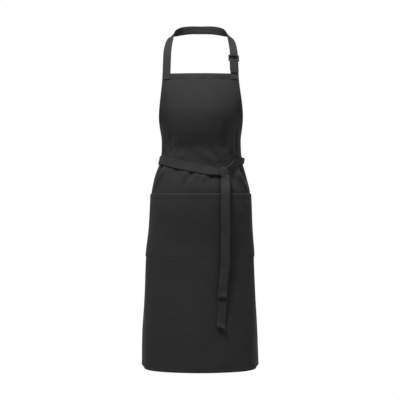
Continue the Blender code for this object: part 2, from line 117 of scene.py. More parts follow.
# Cut of the front panel: heights, and half widths measured along the cloth
BIB_TOP = 0.265
WAIST_CORNER = 0.010
HEM_BOTTOM = -0.600
BIB_HALF = 0.1130
SKIRT_HALF = 0.300
ARMHOLE_POWER = 1.7
BIB_HEM = 0.018
EDGE_HEM = 0.012
PANEL_STEP = 0.0046
ROW_GAP = 0.0004
FINE_ROWS = ((-0.095, 0.065), (0.243, 0.265))
PANEL_INNER_COLUMNS = 170
COLUMN_CROWDING = 0.6
EDGE_STEPS = (0.0, 0.0010, 0.0026, 0.0050, 0.0072, 0.0088, 0.0100, 0.0112, 0.0128)
LINE_STEPS = (-0.0028, -0.0013, 0.0, 0.0013, 0.0028)

# Folds of the hanging skirt
FOLD_LENGTH = 0.150
FOLD_FRONT = 0.0012
FOLD_SIDE = 0.0050
FOLD_FROM = -0.050

# Folds that run from the ties, as (degrees from the front, height) at both ends, spread and height
TIED_FOLDS = (
    (-50, -0.002, -78, -0.094, 0.0115, 0.0072),
    (-65, 0.006, -73, -0.062, 0.0085, -0.0064),
    (-34, -0.008, -32, -0.052, 0.0090, -0.0036),
    (-19, -0.014, -22, -0.066, 0.0062, 0.0052),
    (-11, -0.017, -13, -0.056, 0.0055, -0.0044),
    (-3, -0.020, -6, -0.054, 0.0060, 0.0030),
    (5, -0.024, 3, -0.058, 0.0055, 0.0034),
    (14, -0.028, 13, -0.064, 0.0100, -0.0036),
    (42, -0.016, 43, -0.080, 0.0085, -0.0036),
    (51, -0.014, 76, -0.094, 0.0120, 0.0066),
    (64, 0.006, 73, -0.062, 0.0085, -0.0064),
    (-68, 0.026, -62, 0.135, 0.0100, 0.0056),
    (-51, 0.022, -48, 0.112, 0.0098, -0.0072),
    (-56, 0.024, -45, 0.084, 0.0046, 0.0034),
    (34, 0.028, 34, 0.158, 0.0120, -0.0040),
    (47, 0.026, 46, 0.152, 0.0085, 0.0048),
    (60, 0.026, 57, 0.128, 0.0080, -0.0040),
    (24, 0.000, -16, 0.054, 0.0115, 0.0027),
    (31, 0.002, 10, 0.080, 0.0085, 0.0026),
    (-32, 0.012, -18, 0.064, 0.0100, 0.0016),
    (-29, 0.040, -28, 0.192, 0.0290, 0.0042),
)
DEGREE_LENGTH = 0.0023
FOLD_RISE = 0.22
FOLD_FADE = 0.35
FOLD_EDGE = (-0.003, 0.009)

# Below the chest the bib hangs straighter than the form: how far out, where, and how far that reaches
CHEST_FALL = 0.0052
CHEST_FALL_AT = 0.104
CHEST_FALL_SPREAD = 0.042
CHEST_FALL_SIDES = (78, 30)
BELT_PRESS = 0.0010
BELT_PRESS_SPREAD = 0.022
DRAPE_END = (-0.095, -0.060)

# Wrinkles of the cloth, clear of what is sewn or tied to it, and the puckers and grooves of the seams
WRINKLE = 0.0014
WRINKLE_PITCH = 0.070
PANEL_SEED = 1.5
POCKET_SEED = 7.5
WRINKLE_BELOW_STRAPS = (BIB_TOP - 0.01, BIB_TOP - 0.06)
WRINKLE_OFF_TIES = (0.018, 0.040)
TIES_HEIGHT = 0.002
WRINKLE_OFF_POCKET = 0.02
PUCKER = 0.00016
PUCKER_LENGTH = 0.013
PUCKER_SPREAD = 0.006
GROOVE = 0.0005
GROOVE_SPREAD = 0.0014
HEM_RISE = 0.0003

# The bib's hem is drawn into long low creases between the straps
HEM_STREAK = 0.0017
STREAK_PITCH = 0.0050
STREAK_STRETCH = 5
STREAK_ENDS = (0.090, 0.070)
STREAK_REACH = 0.030
STREAK_TOP = 0.004
STREAK_SEED = 3.5

# Pocket
POCKET_TOP = -0.087
POCKET_BOTTOM = -0.272
POCKET_HALF = 0.2304
POCKET_HEM = 0.016
POCKET_SEAM = 0.010
POCKET_STANDOFF = 0.0016
POCKET_GAPE = 0.0095
POCKET_EASE = 0.030
POCKET_FLAT_FROM = 0.090
POCKET_STEP = 0.0040
POCKET_COLUMNS = 96
POCKET_ROWS_OF_STITCHES = (0.0096, 0.0150)
POCKET_EDGE_STITCH = 0.0022
POCKET_EDGE_STEPS = (0.0, 0.0010, POCKET_EDGE_STITCH, 0.0035, 0.0060)
POCKET_SMOOTH = 0.03
POCKET_SEAM_SHARE = 0.6
BARTACK = 0.010
BARTACK_INSET = 0.004
BARTACK_STITCH = 0.0017
POCKET_TURN = 0.0012
POCKET_BACKING = 0.0022
BACKING_REACH = 0.070
BACKING_EDGE = (0.0002, 1.5 * POCKET_TURN)

# Neck strap, its slider and the tab below it
STRAP_WIDTH = 0.0245
STRAP_INSET = 0.0127
STRAP_LIFT = 0.0015
STRAP_LEAN = math.radians(-2.9)
STRAIGHT_RUN = 0.066
STRAIGHT_POINTS = 28
STRAIGHT_AIM = -6
SLIDER_FROM = 0.040
SLIDER_HEIGHT = 0.020
SLIDER_WIDTH = 0.0325
SLIDER_DEPTH = 0.0024
SLIDER_BAR = 0.003
SLIDER_CORNER = 0.0025
SLIDER_EDGE = 0.0006
SLIDER_CROWN = 0.12
SLIDER_WORN_FROM = 0.7
SLIDER_FLAT = 0.01
SLIDER_SHARP = math.radians(40)
SLIDER_SHADED_SHARP = math.radians(50)
LOWER_SLOT = 0.006
UPPER_SLOT = 0.005
SLOT_EASE = 0.0002
TAB_RETURN = 0.010
TAB_POINTS = 18
TAB_TURN_POINTS = 15
TAB_RETURN_POINTS = 8
TAIL_FROM = 0.0014
TAIL_END = 0.0028
TAIL_LEAN = 0.0016
TAIL_POINTS = 12
STRAP_END_HEM = 0.008
FOLD_TURNS = (30, 60, 90, 120, 150)
FOLD_BACK_POINTS = 5
SEWN_ROWS = (0.0030, 0.0145)
SEWN_POINTS = 8

# The neck strap's way from the straight run to the middle of the neck: place, and degrees turned on edge
SHOULDER_WAY = (
    (0.0945, -0.0220, 0.3610, 20),
    (0.0855, 0.0060, 0.3900, 45),
    (0.0625, 0.0360, 0.4050, 72),
    (0.0320, 0.0540, 0.4126, 86),
    (0.0000, 0.0590, 0.4130, 90),
)
SHOULDER_TOE = 0.12
SHOULDER_STEPS = 12
STRAP_EASING = 14
STRAP_EASED_FROM = 0.030
STRAP_CREASE = 0.0007
STRAP_CREASES = 2.2
STRAP_CREASE_WANDER = 1.4
STRAP_CREASE_LENGTH = 0.120
STRAP_CREASE_ENDS = (0.12, 0.20)
WEAVE_STEPS = 6

# Waist ties, as (angle from the front in degrees, height) from the back round to the front
TIE_WIDTH = 0.025
TIE_LIFT = 0.0020
TIE_CROSSING = 0.0024
CROSSING_ANGLES = (40, 24)
TIE_STEP = 1.5
LEFT_TIE_WAY = ((210, -0.006), (180, 0.008), (150, 0.022), (90, 0.012), (52, 0.003), (36.6, -0.012))
RIGHT_TIE_WAY = (
    (210, -0.006), (180, 0.008), (150, 0.022), (90, 0.014), (62, 0.0115), (13, -0.009), (-21.6, -0.0245),
)
TIE_TUCK = 7
TIE_TUCK_FROM = 6
TIE_LEVELLING = 0.5
TIE_SEWN_ROWS = (2, 9)
TIE_SEWN_INSET = 3
TIE_RISE = 0.0035
TIE_PINCH = 0.24
TIE_PINCH_RIGHT = 0.46
TIE_PINCH_FROM = 16
TIE_PLEAT = 0.0007
TIE_PLEATS = 3.5
TIE_ROLL = 0.0046
ROLL_SHARE = 0.62
ROLL_SPREAD = 0.34
TIE_TILT = 0.0055
TILT_FADE = (140, 105)
TIE_BUNCH = 0.36
BUNCH_FRONT = (46, 78)
BUNCH_BACK = (135, 100)

# Their knot and the two hanging ends
KNOT_AT = (0.0635, -0.023)
KNOT_HEIGHT = 0.023
KNOT_YAW = math.radians(24)
KNOT_STANDOFF = 0.0088
KNOT_DEGREES = 32

# The knot's band, as (ahead, up) over the core and then (row of the tie end, rise above its middle)
KNOT_PROFILE = (
    (-0.0050, 0.0060), (-0.0042, 0.0100), (-0.0005, 0.0122), (0.0035, 0.0112), (0.0056, 0.0072),
    (0.0066, 0.0012), (0.0074, -0.0050), (0.0080, -0.0105),
)
KNOT_FEATHER = ((0, 0.0017), (1, 0.0012), (2, 0.0006), (3, -0.0001), (4, -0.0006))
KNOT_STEPS = 5
KNOT_NARROWING = 0.97
KNOT_CREASE = 0.0006
KNOT_CROWN = 0.0018
KNOT_CREASE_FROM = 0.016
KNOT_CREASES = 2.6
KNOT_CREASE_SHIFT = 0.7

# The bunched core inside it: size, rows and columns of faces, and its pleats up and round it
CORE_SIZE = (0.0255, 0.0100, 0.0240)
CORE_ROWS = 14
CORE_COLUMNS = 28
CORE_SOFTNESS = 0.62
CORE_PLEAT = 0.05
CORE_PLEATS = (3, 5)
CORE_PLEAT_TURN = 0.6

# The hanging ends
TAIL_X = 0.072
BACK_TAIL_END = -0.471
FRONT_TAIL_END = -0.384
BACK_TAIL_DRIFT = -0.013
FRONT_TAIL_DRIFT = -0.009
TAIL_DRIFT_FROM = -0.260
TAIL_CLEARANCE = 0.0036
TAIL_SPACING = 0.0046
TAIL_YAW = math.radians(6)
TAIL_STEP = 0.0040
TAIL_SOFTEN = 0.012
SOFTEN_SAMPLES = 9
TAIL_RIPPLE = 0.0010
TAIL_BOW = 0.0026
TAIL_FLIP = 0.0034
TAIL_FLIP_LENGTH = 0.016
TAIL_RIPPLE_LENGTH = 0.110
TAIL_RIPPLE_ENDS = (0.05, 0.06)
TAIL_TWIST = 0.5
TAIL_SLANT_REACH = 0.05
TAIL_SEWN_TO = 0.002
POCKET_CLEARANCE = 0.004
HINGE_FORWARD = 0.004
HINGE_SPACING = 0.0022
HINGE_GAP = 0.0044
TIE_END_HEM = 0.011
BACK_TAIL_SLANT = 0.0045

# Ribbon sections, as shares of the half width, and the stitches
RIBBON_SHARES = (0.3, 0.6, 0.78, 0.84, 0.9, 0.95, 0.985, 1.0)
RIBBON_STITCH = 0.84
RIBBON_EDGE_POWER = 24
RIBBON_GROOVE = 0.00015
RIBBON_GROOVE_SPREAD = 0.05
RIBBON_GROOVE_LIMIT = 0.4
RIBBON_WORN = 0.06
RIBBON_TIP = 0.04
RIBBON_ENDS = (0.0003, 0.0007, 0.0013)
STITCH_SIDES = 5
STITCH_RINGS = ((0.22, 0.8), (0.5, 1.0), (0.78, 0.8))
STITCH_TIPS = (0.06, 0.94)
STITCH_RADIUS = 0.00022
STITCH_DIP = 0.00012
STITCH_RISE = 0.00012

# Points along the rows of stitches, and how far short of an edge they end
SEAM_END = 0.001
EDGE_SEAM_POINTS = 700
CROSS_SEAM_POINTS = 400
POCKET_SEAM_POINTS = 300
POCKET_SIDE_POINTS = 120
BARTACK_POINTS = 12

# The straps and ties are a paler tape than the panel
TAPE_PALER = 1.12

# Photographer's camera and the studio
CAMERA_AT = (-0.0015, -3.2, -0.105)
CAMERA_LENS = 96
CAMERA_SENSOR = 36
FLOOR_HEIGHT = -1.08
FLOOR_RADIUS = 1.85
FLOOR_SEGMENTS = 96

# Lamps, as (place, aim, width)
KEY_LIGHT = ((-0.55, -0.95, 1.75), (0, -0.05, 0.0), 0.4)
FILL_LIGHT = ((1.0, -0.80, 1.65), (0, 0, 0.1), 1.2)
BACK_LIGHT = ((0.5, 2.1, 0.9), (0, 0, -0.05), 1.6)


def slot_colour(slot):
    """The base colour of one of the record's material slots."""
    found = next(made for made in frame["record"]["materials"] if made["slot"] == slot)
    return tuple(found["base_color"][:3])


def unit(vectors):
    return vectors / np.linalg.norm(vectors, axis=-1, keepdims=True)


def smooth_step(low, high, value):
    t = np.clip((np.asarray(value, float) - low) / (high - low), 0, 1)
    return t * t * (3 - 2 * t)


def bell(value, spread):
    return np.exp(-((value / spread) ** 2))


def smooth_through(stations, at):
    """Values at places between stations, as (place, value, ...) in falling order, on a smooth curve."""
    table = np.array(stations, float)
    places, values = table[:, 0], table[:, 1:]
    steps = np.diff(places)[:, None]
    rises = np.diff(values, axis=0)
    inner = (values[2:] - values[:-2]) / (places[2:] - places[:-2])[:, None]
    slopes = np.concatenate([rises[:1] / steps[:1], inner, rises[-1:] / steps[-1:]])
    at = np.asarray(at, float)
    i = np.clip(np.searchsorted(-places, -at.ravel()) - 1, 0, len(places) - 2)
    step = steps[i]
    t = np.clip((at.ravel()[:, None] - places[i, None]) / step, 0, 1)
    start = values[i] * (2 * t**3 - 3 * t**2 + 1) + slopes[i] * step * (t**3 - 2 * t**2 + t)
    end = values[i + 1] * (3 * t**2 - 2 * t**3) + slopes[i + 1] * step * (t**3 - t**2)
    return (start + end).reshape(*at.shape, -1)


def form_outline(angle, height):
    """Points of the body form at angles from the front middle, and the level ways out from it."""
    angle, height = np.broadcast_arrays(np.asarray(angle, float), np.asarray(height, float))
    half, front, back, square, shift = np.moveaxis(smooth_through(STATIONS, height), -1, 0)
    sine, cosine = np.sin(angle), np.cos(angle)
    depth = np.where(cosine >= 0, front, back)
    across = np.sign(sine) * np.abs(sine) ** (2 / square)
    ahead = np.sign(cosine) * np.abs(cosine) ** (2 / square)
    slope = np.sign(across) * np.abs(across) ** (square - 1) / half
    rise = np.sign(ahead) * np.abs(ahead) ** (square - 1) / depth
    points = np.stack([shift + half * across, -depth * ahead, height], axis=-1)
    return points, unit(np.stack([slope, -rise, np.zeros_like(slope)], axis=-1))


def on_form(angle, height, lift):
    """Points of the form at angles from the front middle, moved out by lift, and the ways out."""
    points, outward = form_outline(angle, height)
    return points + outward * np.asarray(lift)[..., None], outward


def front_angle(across, height):
    """The angle at which the front of the form is this far from the middle."""
    half, _, _, square, shift = smooth_through(STATIONS, height)
    return math.asin(((across - shift) / half) ** (square / 2))


@functools.lru_cache(maxsize=None)
def contour(height):
    """Angles from the front middle to the back middle, and the length along the form up to each."""
    angles = np.linspace(0, math.pi, CONTOUR_ANGLES)
    points, _ = form_outline(angles, height)
    return angles, way_lengths(points)


def way_lengths(way):
    """The length along a way of points up to each of them."""
    return np.concatenate([[0], np.cumsum(np.linalg.norm(np.diff(way, axis=0), axis=1))])


def cloth_angle(along, height):
    """Angles from the front middle at lengths along the cloth from its middle."""
    angles, lengths = contour(round(float(height), 7))
    return np.copysign(np.interp(np.abs(along), lengths, angles), along)


def fold_lift(along, height):
    """How far the skirt's folds move the cloth out."""
    size = FOLD_FRONT + FOLD_SIDE * (np.abs(along) / SKIRT_HALF) ** 2
    return size * smooth_step(FOLD_FROM, HEM_BOTTOM, height) * np.cos(math.tau * along / FOLD_LENGTH)


def belt_height(degrees):
    """The height of the ties' middle at angles from the front."""
    right = np.array(LEFT_TIE_WAY[::-1]).T
    left = np.array(RIGHT_TIE_WAY[::-1]).T
    return np.where(degrees > KNOT_DEGREES, np.interp(degrees, *right), np.interp(-degrees, *left))


def drape(angle, height):
    """How far the tied cloth stands out: pressed in under the ties, with folds that run from them."""
    degrees = np.degrees(angle)
    height = height + 0 * degrees
    middle = belt_height(degrees)
    clear = smooth_step(*FOLD_EDGE, np.abs(height - middle) - TIE_WIDTH / 2)
    folds = 0
    for start, top, end, bottom, spread, size in TIED_FOLDS:
        run, rise = (end - start) * DEGREE_LENGTH, bottom - top
        length = math.hypot(run, rise)
        x, z = (degrees - start) * DEGREE_LENGTH, height - top
        along = (x * run + z * rise) / length**2
        across = (x * rise - z * run) / length
        reach = smooth_step(0, FOLD_RISE, along) * smooth_step(1, FOLD_FADE, along)
        folds = folds + size * bell(across, spread) * reach
    fall = CHEST_FALL * bell(height - CHEST_FALL_AT, CHEST_FALL_SPREAD)
    folds = folds + fall * smooth_step(*CHEST_FALL_SIDES, np.abs(degrees))
    lift = clear * folds - BELT_PRESS * bell(height - middle, BELT_PRESS_SPREAD)
    return lift * smooth_step(*DRAPE_END, height)


def unevenness(along, level, pitch, seed):
    """A smooth random surface between about -1 and 1."""
    along, level = np.broadcast_arrays(along, level)
    pairs = zip(along.ravel() / pitch, level.ravel() / (2 * pitch))
    values = [noise.noise(Vector((s, z, seed))) for s, z in pairs]
    return np.array(values).reshape(along.shape)


def on_cloth(along, heights, lift):
    """Points at lengths along the cloth, a row for each height, lift above the panel, and ways out."""
    angle = np.array([cloth_angle(row, height) for row, height in zip(along, heights)])
    level = np.asarray(heights)[:, None]
    points, outward = form_outline(angle, level)
    standing = lift + fold_lift(along, level) + drape(angle, level)
    return points + outward * standing[..., None], outward


def panel_half(height):
    """Half the cut width of the front panel: armhole curve above the waist corner, straight below it."""
    drop = np.clip((BIB_TOP - np.asarray(height, float)) / (BIB_TOP - WAIST_CORNER), 0, 1)
    rise = 1 - (1 - drop**ARMHOLE_POWER) ** (1 / ARMHOLE_POWER)
    return BIB_HALF + (SKIRT_HALF - BIB_HALF) * rise


def seam_relief(distance, along):
    """The groove and the puckers along a row of stitches."""
    pucker = np.sin(math.tau * along / PUCKER_LENGTH + 3 * np.sin(along / (5 * PUCKER_LENGTH)))
    return PUCKER * pucker * bell(distance, PUCKER_SPREAD) - GROOVE * bell(distance, GROOVE_SPREAD)


def panel_seams(along, level):
    """Distances to the panel's rows of stitches, each with the length along its row."""
    side = panel_half(level) - np.abs(along) - stitch_inset(EDGE_HEM)
    top = BIB_TOP - level - stitch_inset(BIB_HEM)
    bottom = level - HEM_BOTTOM - stitch_inset(EDGE_HEM)
    return (side, level + 0 * along), (top, along + 0 * level), (bottom, along + 0 * level)


def stitch_inset(hem):
    """How far from the edge a hem is sewn."""
    return hem - HEM_STITCH


def panel_lift(along, level):
    """The panel's middle above its plain face: unevenness of the cloth, doubled hems and seams."""
    clear_of_straps = smooth_step(*WRINKLE_BELOW_STRAPS, level)
    clear_of_ties = smooth_step(*WRINKLE_OFF_TIES, np.abs(level - TIES_HEIGHT))
    behind_pocket = smooth_step(POCKET_TOP + WRINKLE_OFF_POCKET, POCKET_TOP, level)
    below_pocket = smooth_step(POCKET_BOTTOM - WRINKLE_OFF_POCKET, POCKET_BOTTOM, level)
    behind_pocket = behind_pocket * below_pocket
    size = WRINKLE * clear_of_straps * clear_of_ties * (1 - behind_pocket)
    lift = -CLOTH / 2 + size * unevenness(along, level, WRINKLE_PITCH, PANEL_SEED)
    lift = lift + pocket_backing(along, level)
    lift = lift + hem_streaks(along, level)
    for distance, place in panel_seams(along, level):
        hem = smooth_step(*HEM_SLOPE, distance)
        lift = lift + HEM_RISE * hem + seam_relief(distance, place)
    return lift


def hem_streaks(along, level):
    """Creases along the bib's hem, clear of the straps that are sewn on its corners."""
    up = smooth_step(BIB_TOP - STREAK_REACH, BIB_TOP - BIB_HEM, level)
    up = up * smooth_step(BIB_TOP, BIB_TOP - STREAK_TOP, level)
    clear = smooth_step(*STREAK_ENDS, np.abs(along))
    return HEM_STREAK * up * clear * unevenness(along / STREAK_STRETCH, level, STREAK_PITCH, STREAK_SEED)


def pocket_backing(along, level):
    """The panel stands out a little just below the pocket, where the seam holds the two cloths together."""
    below = POCKET_BOTTOM - level
    across = smooth_step(POCKET_HALF, POCKET_HALF - BACKING_REACH, np.abs(along))
    edge = smooth_step(*BACKING_EDGE, below)
    return POCKET_BACKING * across * edge * smooth_step(BACKING_REACH, 0, below)


def graded(top, bottom, step, lines):
    """Heights from top to bottom about a step apart, with closer ones at the given lines."""
    plain = np.linspace(top, bottom, round((top - bottom) / step) + 1)
    close = [line + shift for line in lines for shift in LINE_STEPS]
    clear = [z for z in plain[1:-1] if min(abs(z - line) for line in close) > step / 2]
    inside = [z for z in close if bottom + ROW_GAP < z < top - ROW_GAP]
    return np.array(sorted({top, bottom, *clear, *inside}, reverse=True))


def panel_heights():
    lines = BIB_TOP - stitch_inset(BIB_HEM), HEM_BOTTOM + stitch_inset(EDGE_HEM), POCKET_BOTTOM - POCKET_TURN
    rows = graded(BIB_TOP, HEM_BOTTOM, PANEL_STEP, lines)
    between = {
        (upper + lower) / 2
        for low, high in FINE_ROWS
        for upper, lower in zip(rows, rows[1:])
        if low < lower and upper < high
    }
    return np.array(sorted({*rows, *between}, reverse=True))


def panel_columns(height):
    half = float(panel_half(height))
    edge = half - np.array(EDGE_STEPS)
    share = np.linspace(-1, 1, PANEL_INNER_COLUMNS + 1)
    inner = edge[-1] * share * (COLUMN_CROWDING + (1 - COLUMN_CROWDING) * share**2)
    return np.concatenate([-edge, inner[1:-1], edge[::-1]])


def pocket_lift(along, height):
    """How far the pocket's inner face stands off the panel: sewn flat at its edges, gaping at its mouth."""
    across = smooth_step(POCKET_HALF - POCKET_SEAM, POCKET_FLAT_FROM, np.abs(along))
    up = smooth_step(POCKET_BOTTOM + POCKET_SEAM, POCKET_TOP - POCKET_EASE, height)
    return POCKET_STANDOFF + POCKET_GAPE * across * up


def pocket_face(along, level):
    """The pocket cloth's middle above the panel's face."""
    side = POCKET_HALF - np.abs(along) - POCKET_EDGE_STITCH
    bottom = level - POCKET_BOTTOM - POCKET_EDGE_STITCH
    lift = pocket_lift(along, level) + CLOTH / 2
    sewn = smooth_step(0, POCKET_SMOOTH, side) * smooth_step(0, POCKET_SMOOTH, bottom)
    lift = lift + WRINKLE * sewn * unevenness(along, level, WRINKLE_PITCH, POCKET_SEED)
    for row in POCKET_ROWS_OF_STITCHES:
        lift = lift + seam_relief(POCKET_TOP - level - row, along + 0 * level)
    upper, lower = POCKET_ROWS_OF_STITCHES
    lift = lift + HEM_RISE * smooth_step(lower, upper, POCKET_TOP - level)
    edges = seam_relief(side, level + 0 * along) + seam_relief(bottom, along + 0 * level)
    return lift + POCKET_SEAM_SHARE * edges


def pocket_heights():
    rows = [POCKET_TOP - row for row in POCKET_ROWS_OF_STITCHES]
    return graded(POCKET_TOP, POCKET_BOTTOM, POCKET_STEP, (*rows, POCKET_BOTTOM + POCKET_EDGE_STITCH))


def pocket_half(height):
    """Half the cut width of the pocket, the same at every height."""
    return POCKET_HALF


def pocket_columns(height):
    edge = POCKET_HALF - np.array(POCKET_EDGE_STEPS)
    inner = edge[-1] * np.linspace(-1, 1, POCKET_COLUMNS + 1)
    return np.concatenate([-edge, inner[1:-1], edge[::-1]])


class Wiring:
    """Adds nodes to a node tree and links them."""

    def __init__(self, tree):
        self.tree = tree

    def add(self, kind, **settings):
        node = self.tree.nodes.new(kind)
        for name, value in settings.items():
            setattr(node, name, value)
        return node

    def feed(self, socket, value):
        if isinstance(value, bpy.types.NodeSocket):
            self.tree.links.new(value, socket)
        else:
            socket.default_value = value

    def math(self, operation, *values):
        node = self.add("ShaderNodeMath", operation=operation)
        for socket, value in zip(node.inputs, values):
            self.feed(socket, value)
        return node.outputs[0]

    def blend(self, factor, start, end, kind="RGBA", mode="MIX"):
        """A mix of two colours or values."""
        node = self.add("ShaderNodeMix", data_type=kind)
        if kind == "RGBA":
            node.blend_type = mode
        sockets = [s for s in node.inputs if s.enabled]
        for socket, value in zip(sockets, (factor, start, end)):
            self.feed(socket, value)
        return next(s for s in node.outputs if s.enabled)

    def noise(self, vector, scale, detail=3.0, roughness=0.55):
        node = self.add("ShaderNodeTexNoise")
        self.feed(node.inputs["Vector"], vector)
        node.inputs["Scale"].default_value = scale
        node.inputs["Detail"].default_value = detail
        node.inputs["Roughness"].default_value = roughness
        return node.outputs["Fac"]

    def stretch(self, vector, scale):
        node = self.add("ShaderNodeVectorMath", operation="MULTIPLY")
        self.feed(node.inputs[0], vector)
        node.inputs[1].default_value = scale
        return node.outputs[0]

    def range(self, value, low, high, out_low, out_high):
        node = self.add("ShaderNodeMapRange")
        for socket, item in zip(node.inputs, (value, low, high, out_low, out_high)):
            self.feed(socket, item)
        return node.outputs[0]


def new_group(name, inputs, outputs):
    """A shader node group with named sockets, its wiring, and its input and output nodes."""
    group = bpy.data.node_groups.new(name, "ShaderNodeTree")
    for label, kind, value in inputs:
        socket = group.interface.new_socket(name=label, in_out="INPUT", socket_type=kind)
        if value is not None:
            socket.default_value = value
    for label, kind in outputs:
        group.interface.new_socket(name=label, in_out="OUTPUT", socket_type=kind)
    wiring = Wiring(group)
    return group, wiring, wiring.add("NodeGroupInput").outputs, wiring.add("NodeGroupOutput").inputs


def twill_weave():
    """Diagonal ribs of a two-over-one twill, with its single threads."""
    name = "Twill weave"
    if name in bpy.data.node_groups:
        return bpy.data.node_groups[name]
    group, wire, given, out = new_group(
        name,
        (("Vector", "NodeSocketVector", None), ("Rib Spacing", "NodeSocketFloat", 0.0016)),
        (("Height", "NodeSocketFloat"), ("Tone", "NodeSocketFloat")),
    )
    split = wire.add("ShaderNodeSeparateXYZ")
    wire.feed(split.inputs[0], given["Vector"])
    thread = wire.math("DIVIDE", given["Rib Spacing"], 3.0)
    warp = wire.math("DIVIDE", split.outputs["X"], thread)
    weft = wire.math("DIVIDE", split.outputs["Y"], thread)
    steps = wire.math("ADD", wire.math("FLOOR", warp), wire.math("FLOOR", weft))
    over = wire.math("LESS_THAN", wire.math("FLOORED_MODULO", steps, 3.0), 1.5)
    rounds = []
    for side in (warp, weft):
        centred = wire.math("SUBTRACT", wire.math("FRACT", side), 0.5)
        squared = wire.math("MULTIPLY", centred, centred)
        rounds.append(wire.math("SUBTRACT", 1.0, wire.math("MULTIPLY", squared, 4.0)))
    height = wire.blend(over, wire.math("MULTIPLY", rounds[1], 0.75), rounds[0], "FLOAT")
    wire.feed(out["Height"], height)
    slub = wire.noise(wire.stretch(given["Vector"], (900.0, 45.0, 1.0)), 1.0, 2.0)
    tone = wire.blend(over, 0.90, 1.05, "FLOAT")
    wire.feed(out["Tone"], wire.math("MULTIPLY", tone, wire.range(slub, 0.25, 0.75, 0.90, 1.10)))
    return group


def cloth_fade():
    """Uneven dye and pale, rubbed edges."""
    name = "Cloth fade"
    if name in bpy.data.node_groups:
        return bpy.data.node_groups[name]
    group, wire, given, out = new_group(
        name,
        (
            ("Vector", "NodeSocketVector", None),
            ("Colour", "NodeSocketColor", None),
            ("Tone", "NodeSocketFloat", 1.0),
            ("Mottle", "NodeSocketFloat", 0.12),
            ("Wear", "NodeSocketFloat", 0.0),
        ),
        (("Colour", "NodeSocketColor"), ("Roughness", "NodeSocketFloat")),
    )
    broad = wire.range(wire.noise(given["Vector"], 14.0, 4.0), 0.3, 0.7, -1.0, 1.0)
    fine = wire.range(wire.noise(given["Vector"], 160.0, 3.0, 0.7), 0.3, 0.7, -1.0, 1.0)
    cloud = wire.math("ADD", wire.math("MULTIPLY", broad, 0.6), wire.math("MULTIPLY", fine, 0.6))
    shade = wire.math("ADD", 1.0, wire.math("MULTIPLY", cloud, given["Mottle"]))
    shade = wire.math("MULTIPLY", shade, given["Tone"])
    rub = wire.math("MULTIPLY", given["Wear"], wire.range(fine, -1.0, 1.0, 0.45, 1.1))
    shade = wire.math("MULTIPLY", shade, wire.math("ADD", 1.0, wire.math("MULTIPLY", rub, 0.25)))
    scaled = wire.add("ShaderNodeVectorMath", operation="SCALE")
    wire.feed(scaled.inputs[0], given["Colour"])
    wire.feed(scaled.inputs["Scale"], shade)
    wire.feed(out["Colour"], scaled.outputs[0])
    wire.feed(out["Roughness"], wire.range(cloud, -1.0, 1.0, 0.80, 0.96))
    return group


def new_material(name):
    """A material, its wiring and its Principled shader."""
    made = bpy.data.materials.new(name)
    made.use_nodes = True
    shader = next(n for n in made.node_tree.nodes if n.type == "BSDF_PRINCIPLED")
    return made, Wiring(made.node_tree), shader


def woven(name, colour, rib_spacing, mottle, relief):
    """A woven material on the pieces' cloth coordinates."""
    if name in bpy.data.materials:
        return bpy.data.materials[name]
    made, wire, shader = new_material(name)
    cloth = wire.add("ShaderNodeUVMap", uv_map="cloth").outputs["UV"]
    worn = wire.add("ShaderNodeAttribute", attribute_name="worn").outputs["Fac"]
    weave = wire.add("ShaderNodeGroup", node_tree=twill_weave())
    wire.feed(weave.inputs["Vector"], cloth)
    weave.inputs["Rib Spacing"].default_value = rib_spacing
    fade = wire.add("ShaderNodeGroup", node_tree=cloth_fade())
    wire.feed(fade.inputs["Vector"], cloth)
    fade.inputs["Colour"].default_value = (*colour, 1)
    wire.feed(fade.inputs["Tone"], weave.outputs["Tone"])
    fade.inputs["Mottle"].default_value = mottle
    wire.feed(fade.inputs["Wear"], worn)
    bump = wire.add("ShaderNodeBump")
    bump.inputs["Strength"].default_value = relief
    bump.inputs["Distance"].default_value = rib_spacing / 5
    wire.feed(bump.inputs["Height"], weave.outputs["Height"])
    wire.feed(shader.inputs["Base Color"], fade.outputs["Colour"])
    wire.feed(shader.inputs["Roughness"], fade.outputs["Roughness"])
    wire.feed(shader.inputs["Normal"], bump.outputs["Normal"])
    shader.inputs["Specular IOR Level"].default_value = 0.06
    shader.inputs["Sheen Weight"].default_value = 0.02
    shader.inputs["Sheen Roughness"].default_value = 0.45
    return made


def charcoal_twill():
    look = bpy.context.scene.apron_cloth
    return woven("apron twill", look.colour, look.rib_spacing, mottle=0.13, relief=0.45)


def tape_twill():
    look = bpy.context.scene.apron_cloth
    return woven("apron tape", look.tape_colour, look.rib_spacing, mottle=0.10, relief=0.45)


def twill_turnings():
    look = bpy.context.scene.apron_cloth
    return woven("apron turnings", look.inside_colour, look.rib_spacing, mottle=0.10, relief=0.45)


def sewing_thread():
    look = bpy.context.scene.apron_cloth
    return woven("apron thread", look.thread_colour, look.rib_spacing / 3, mottle=0.05, relief=0.3)


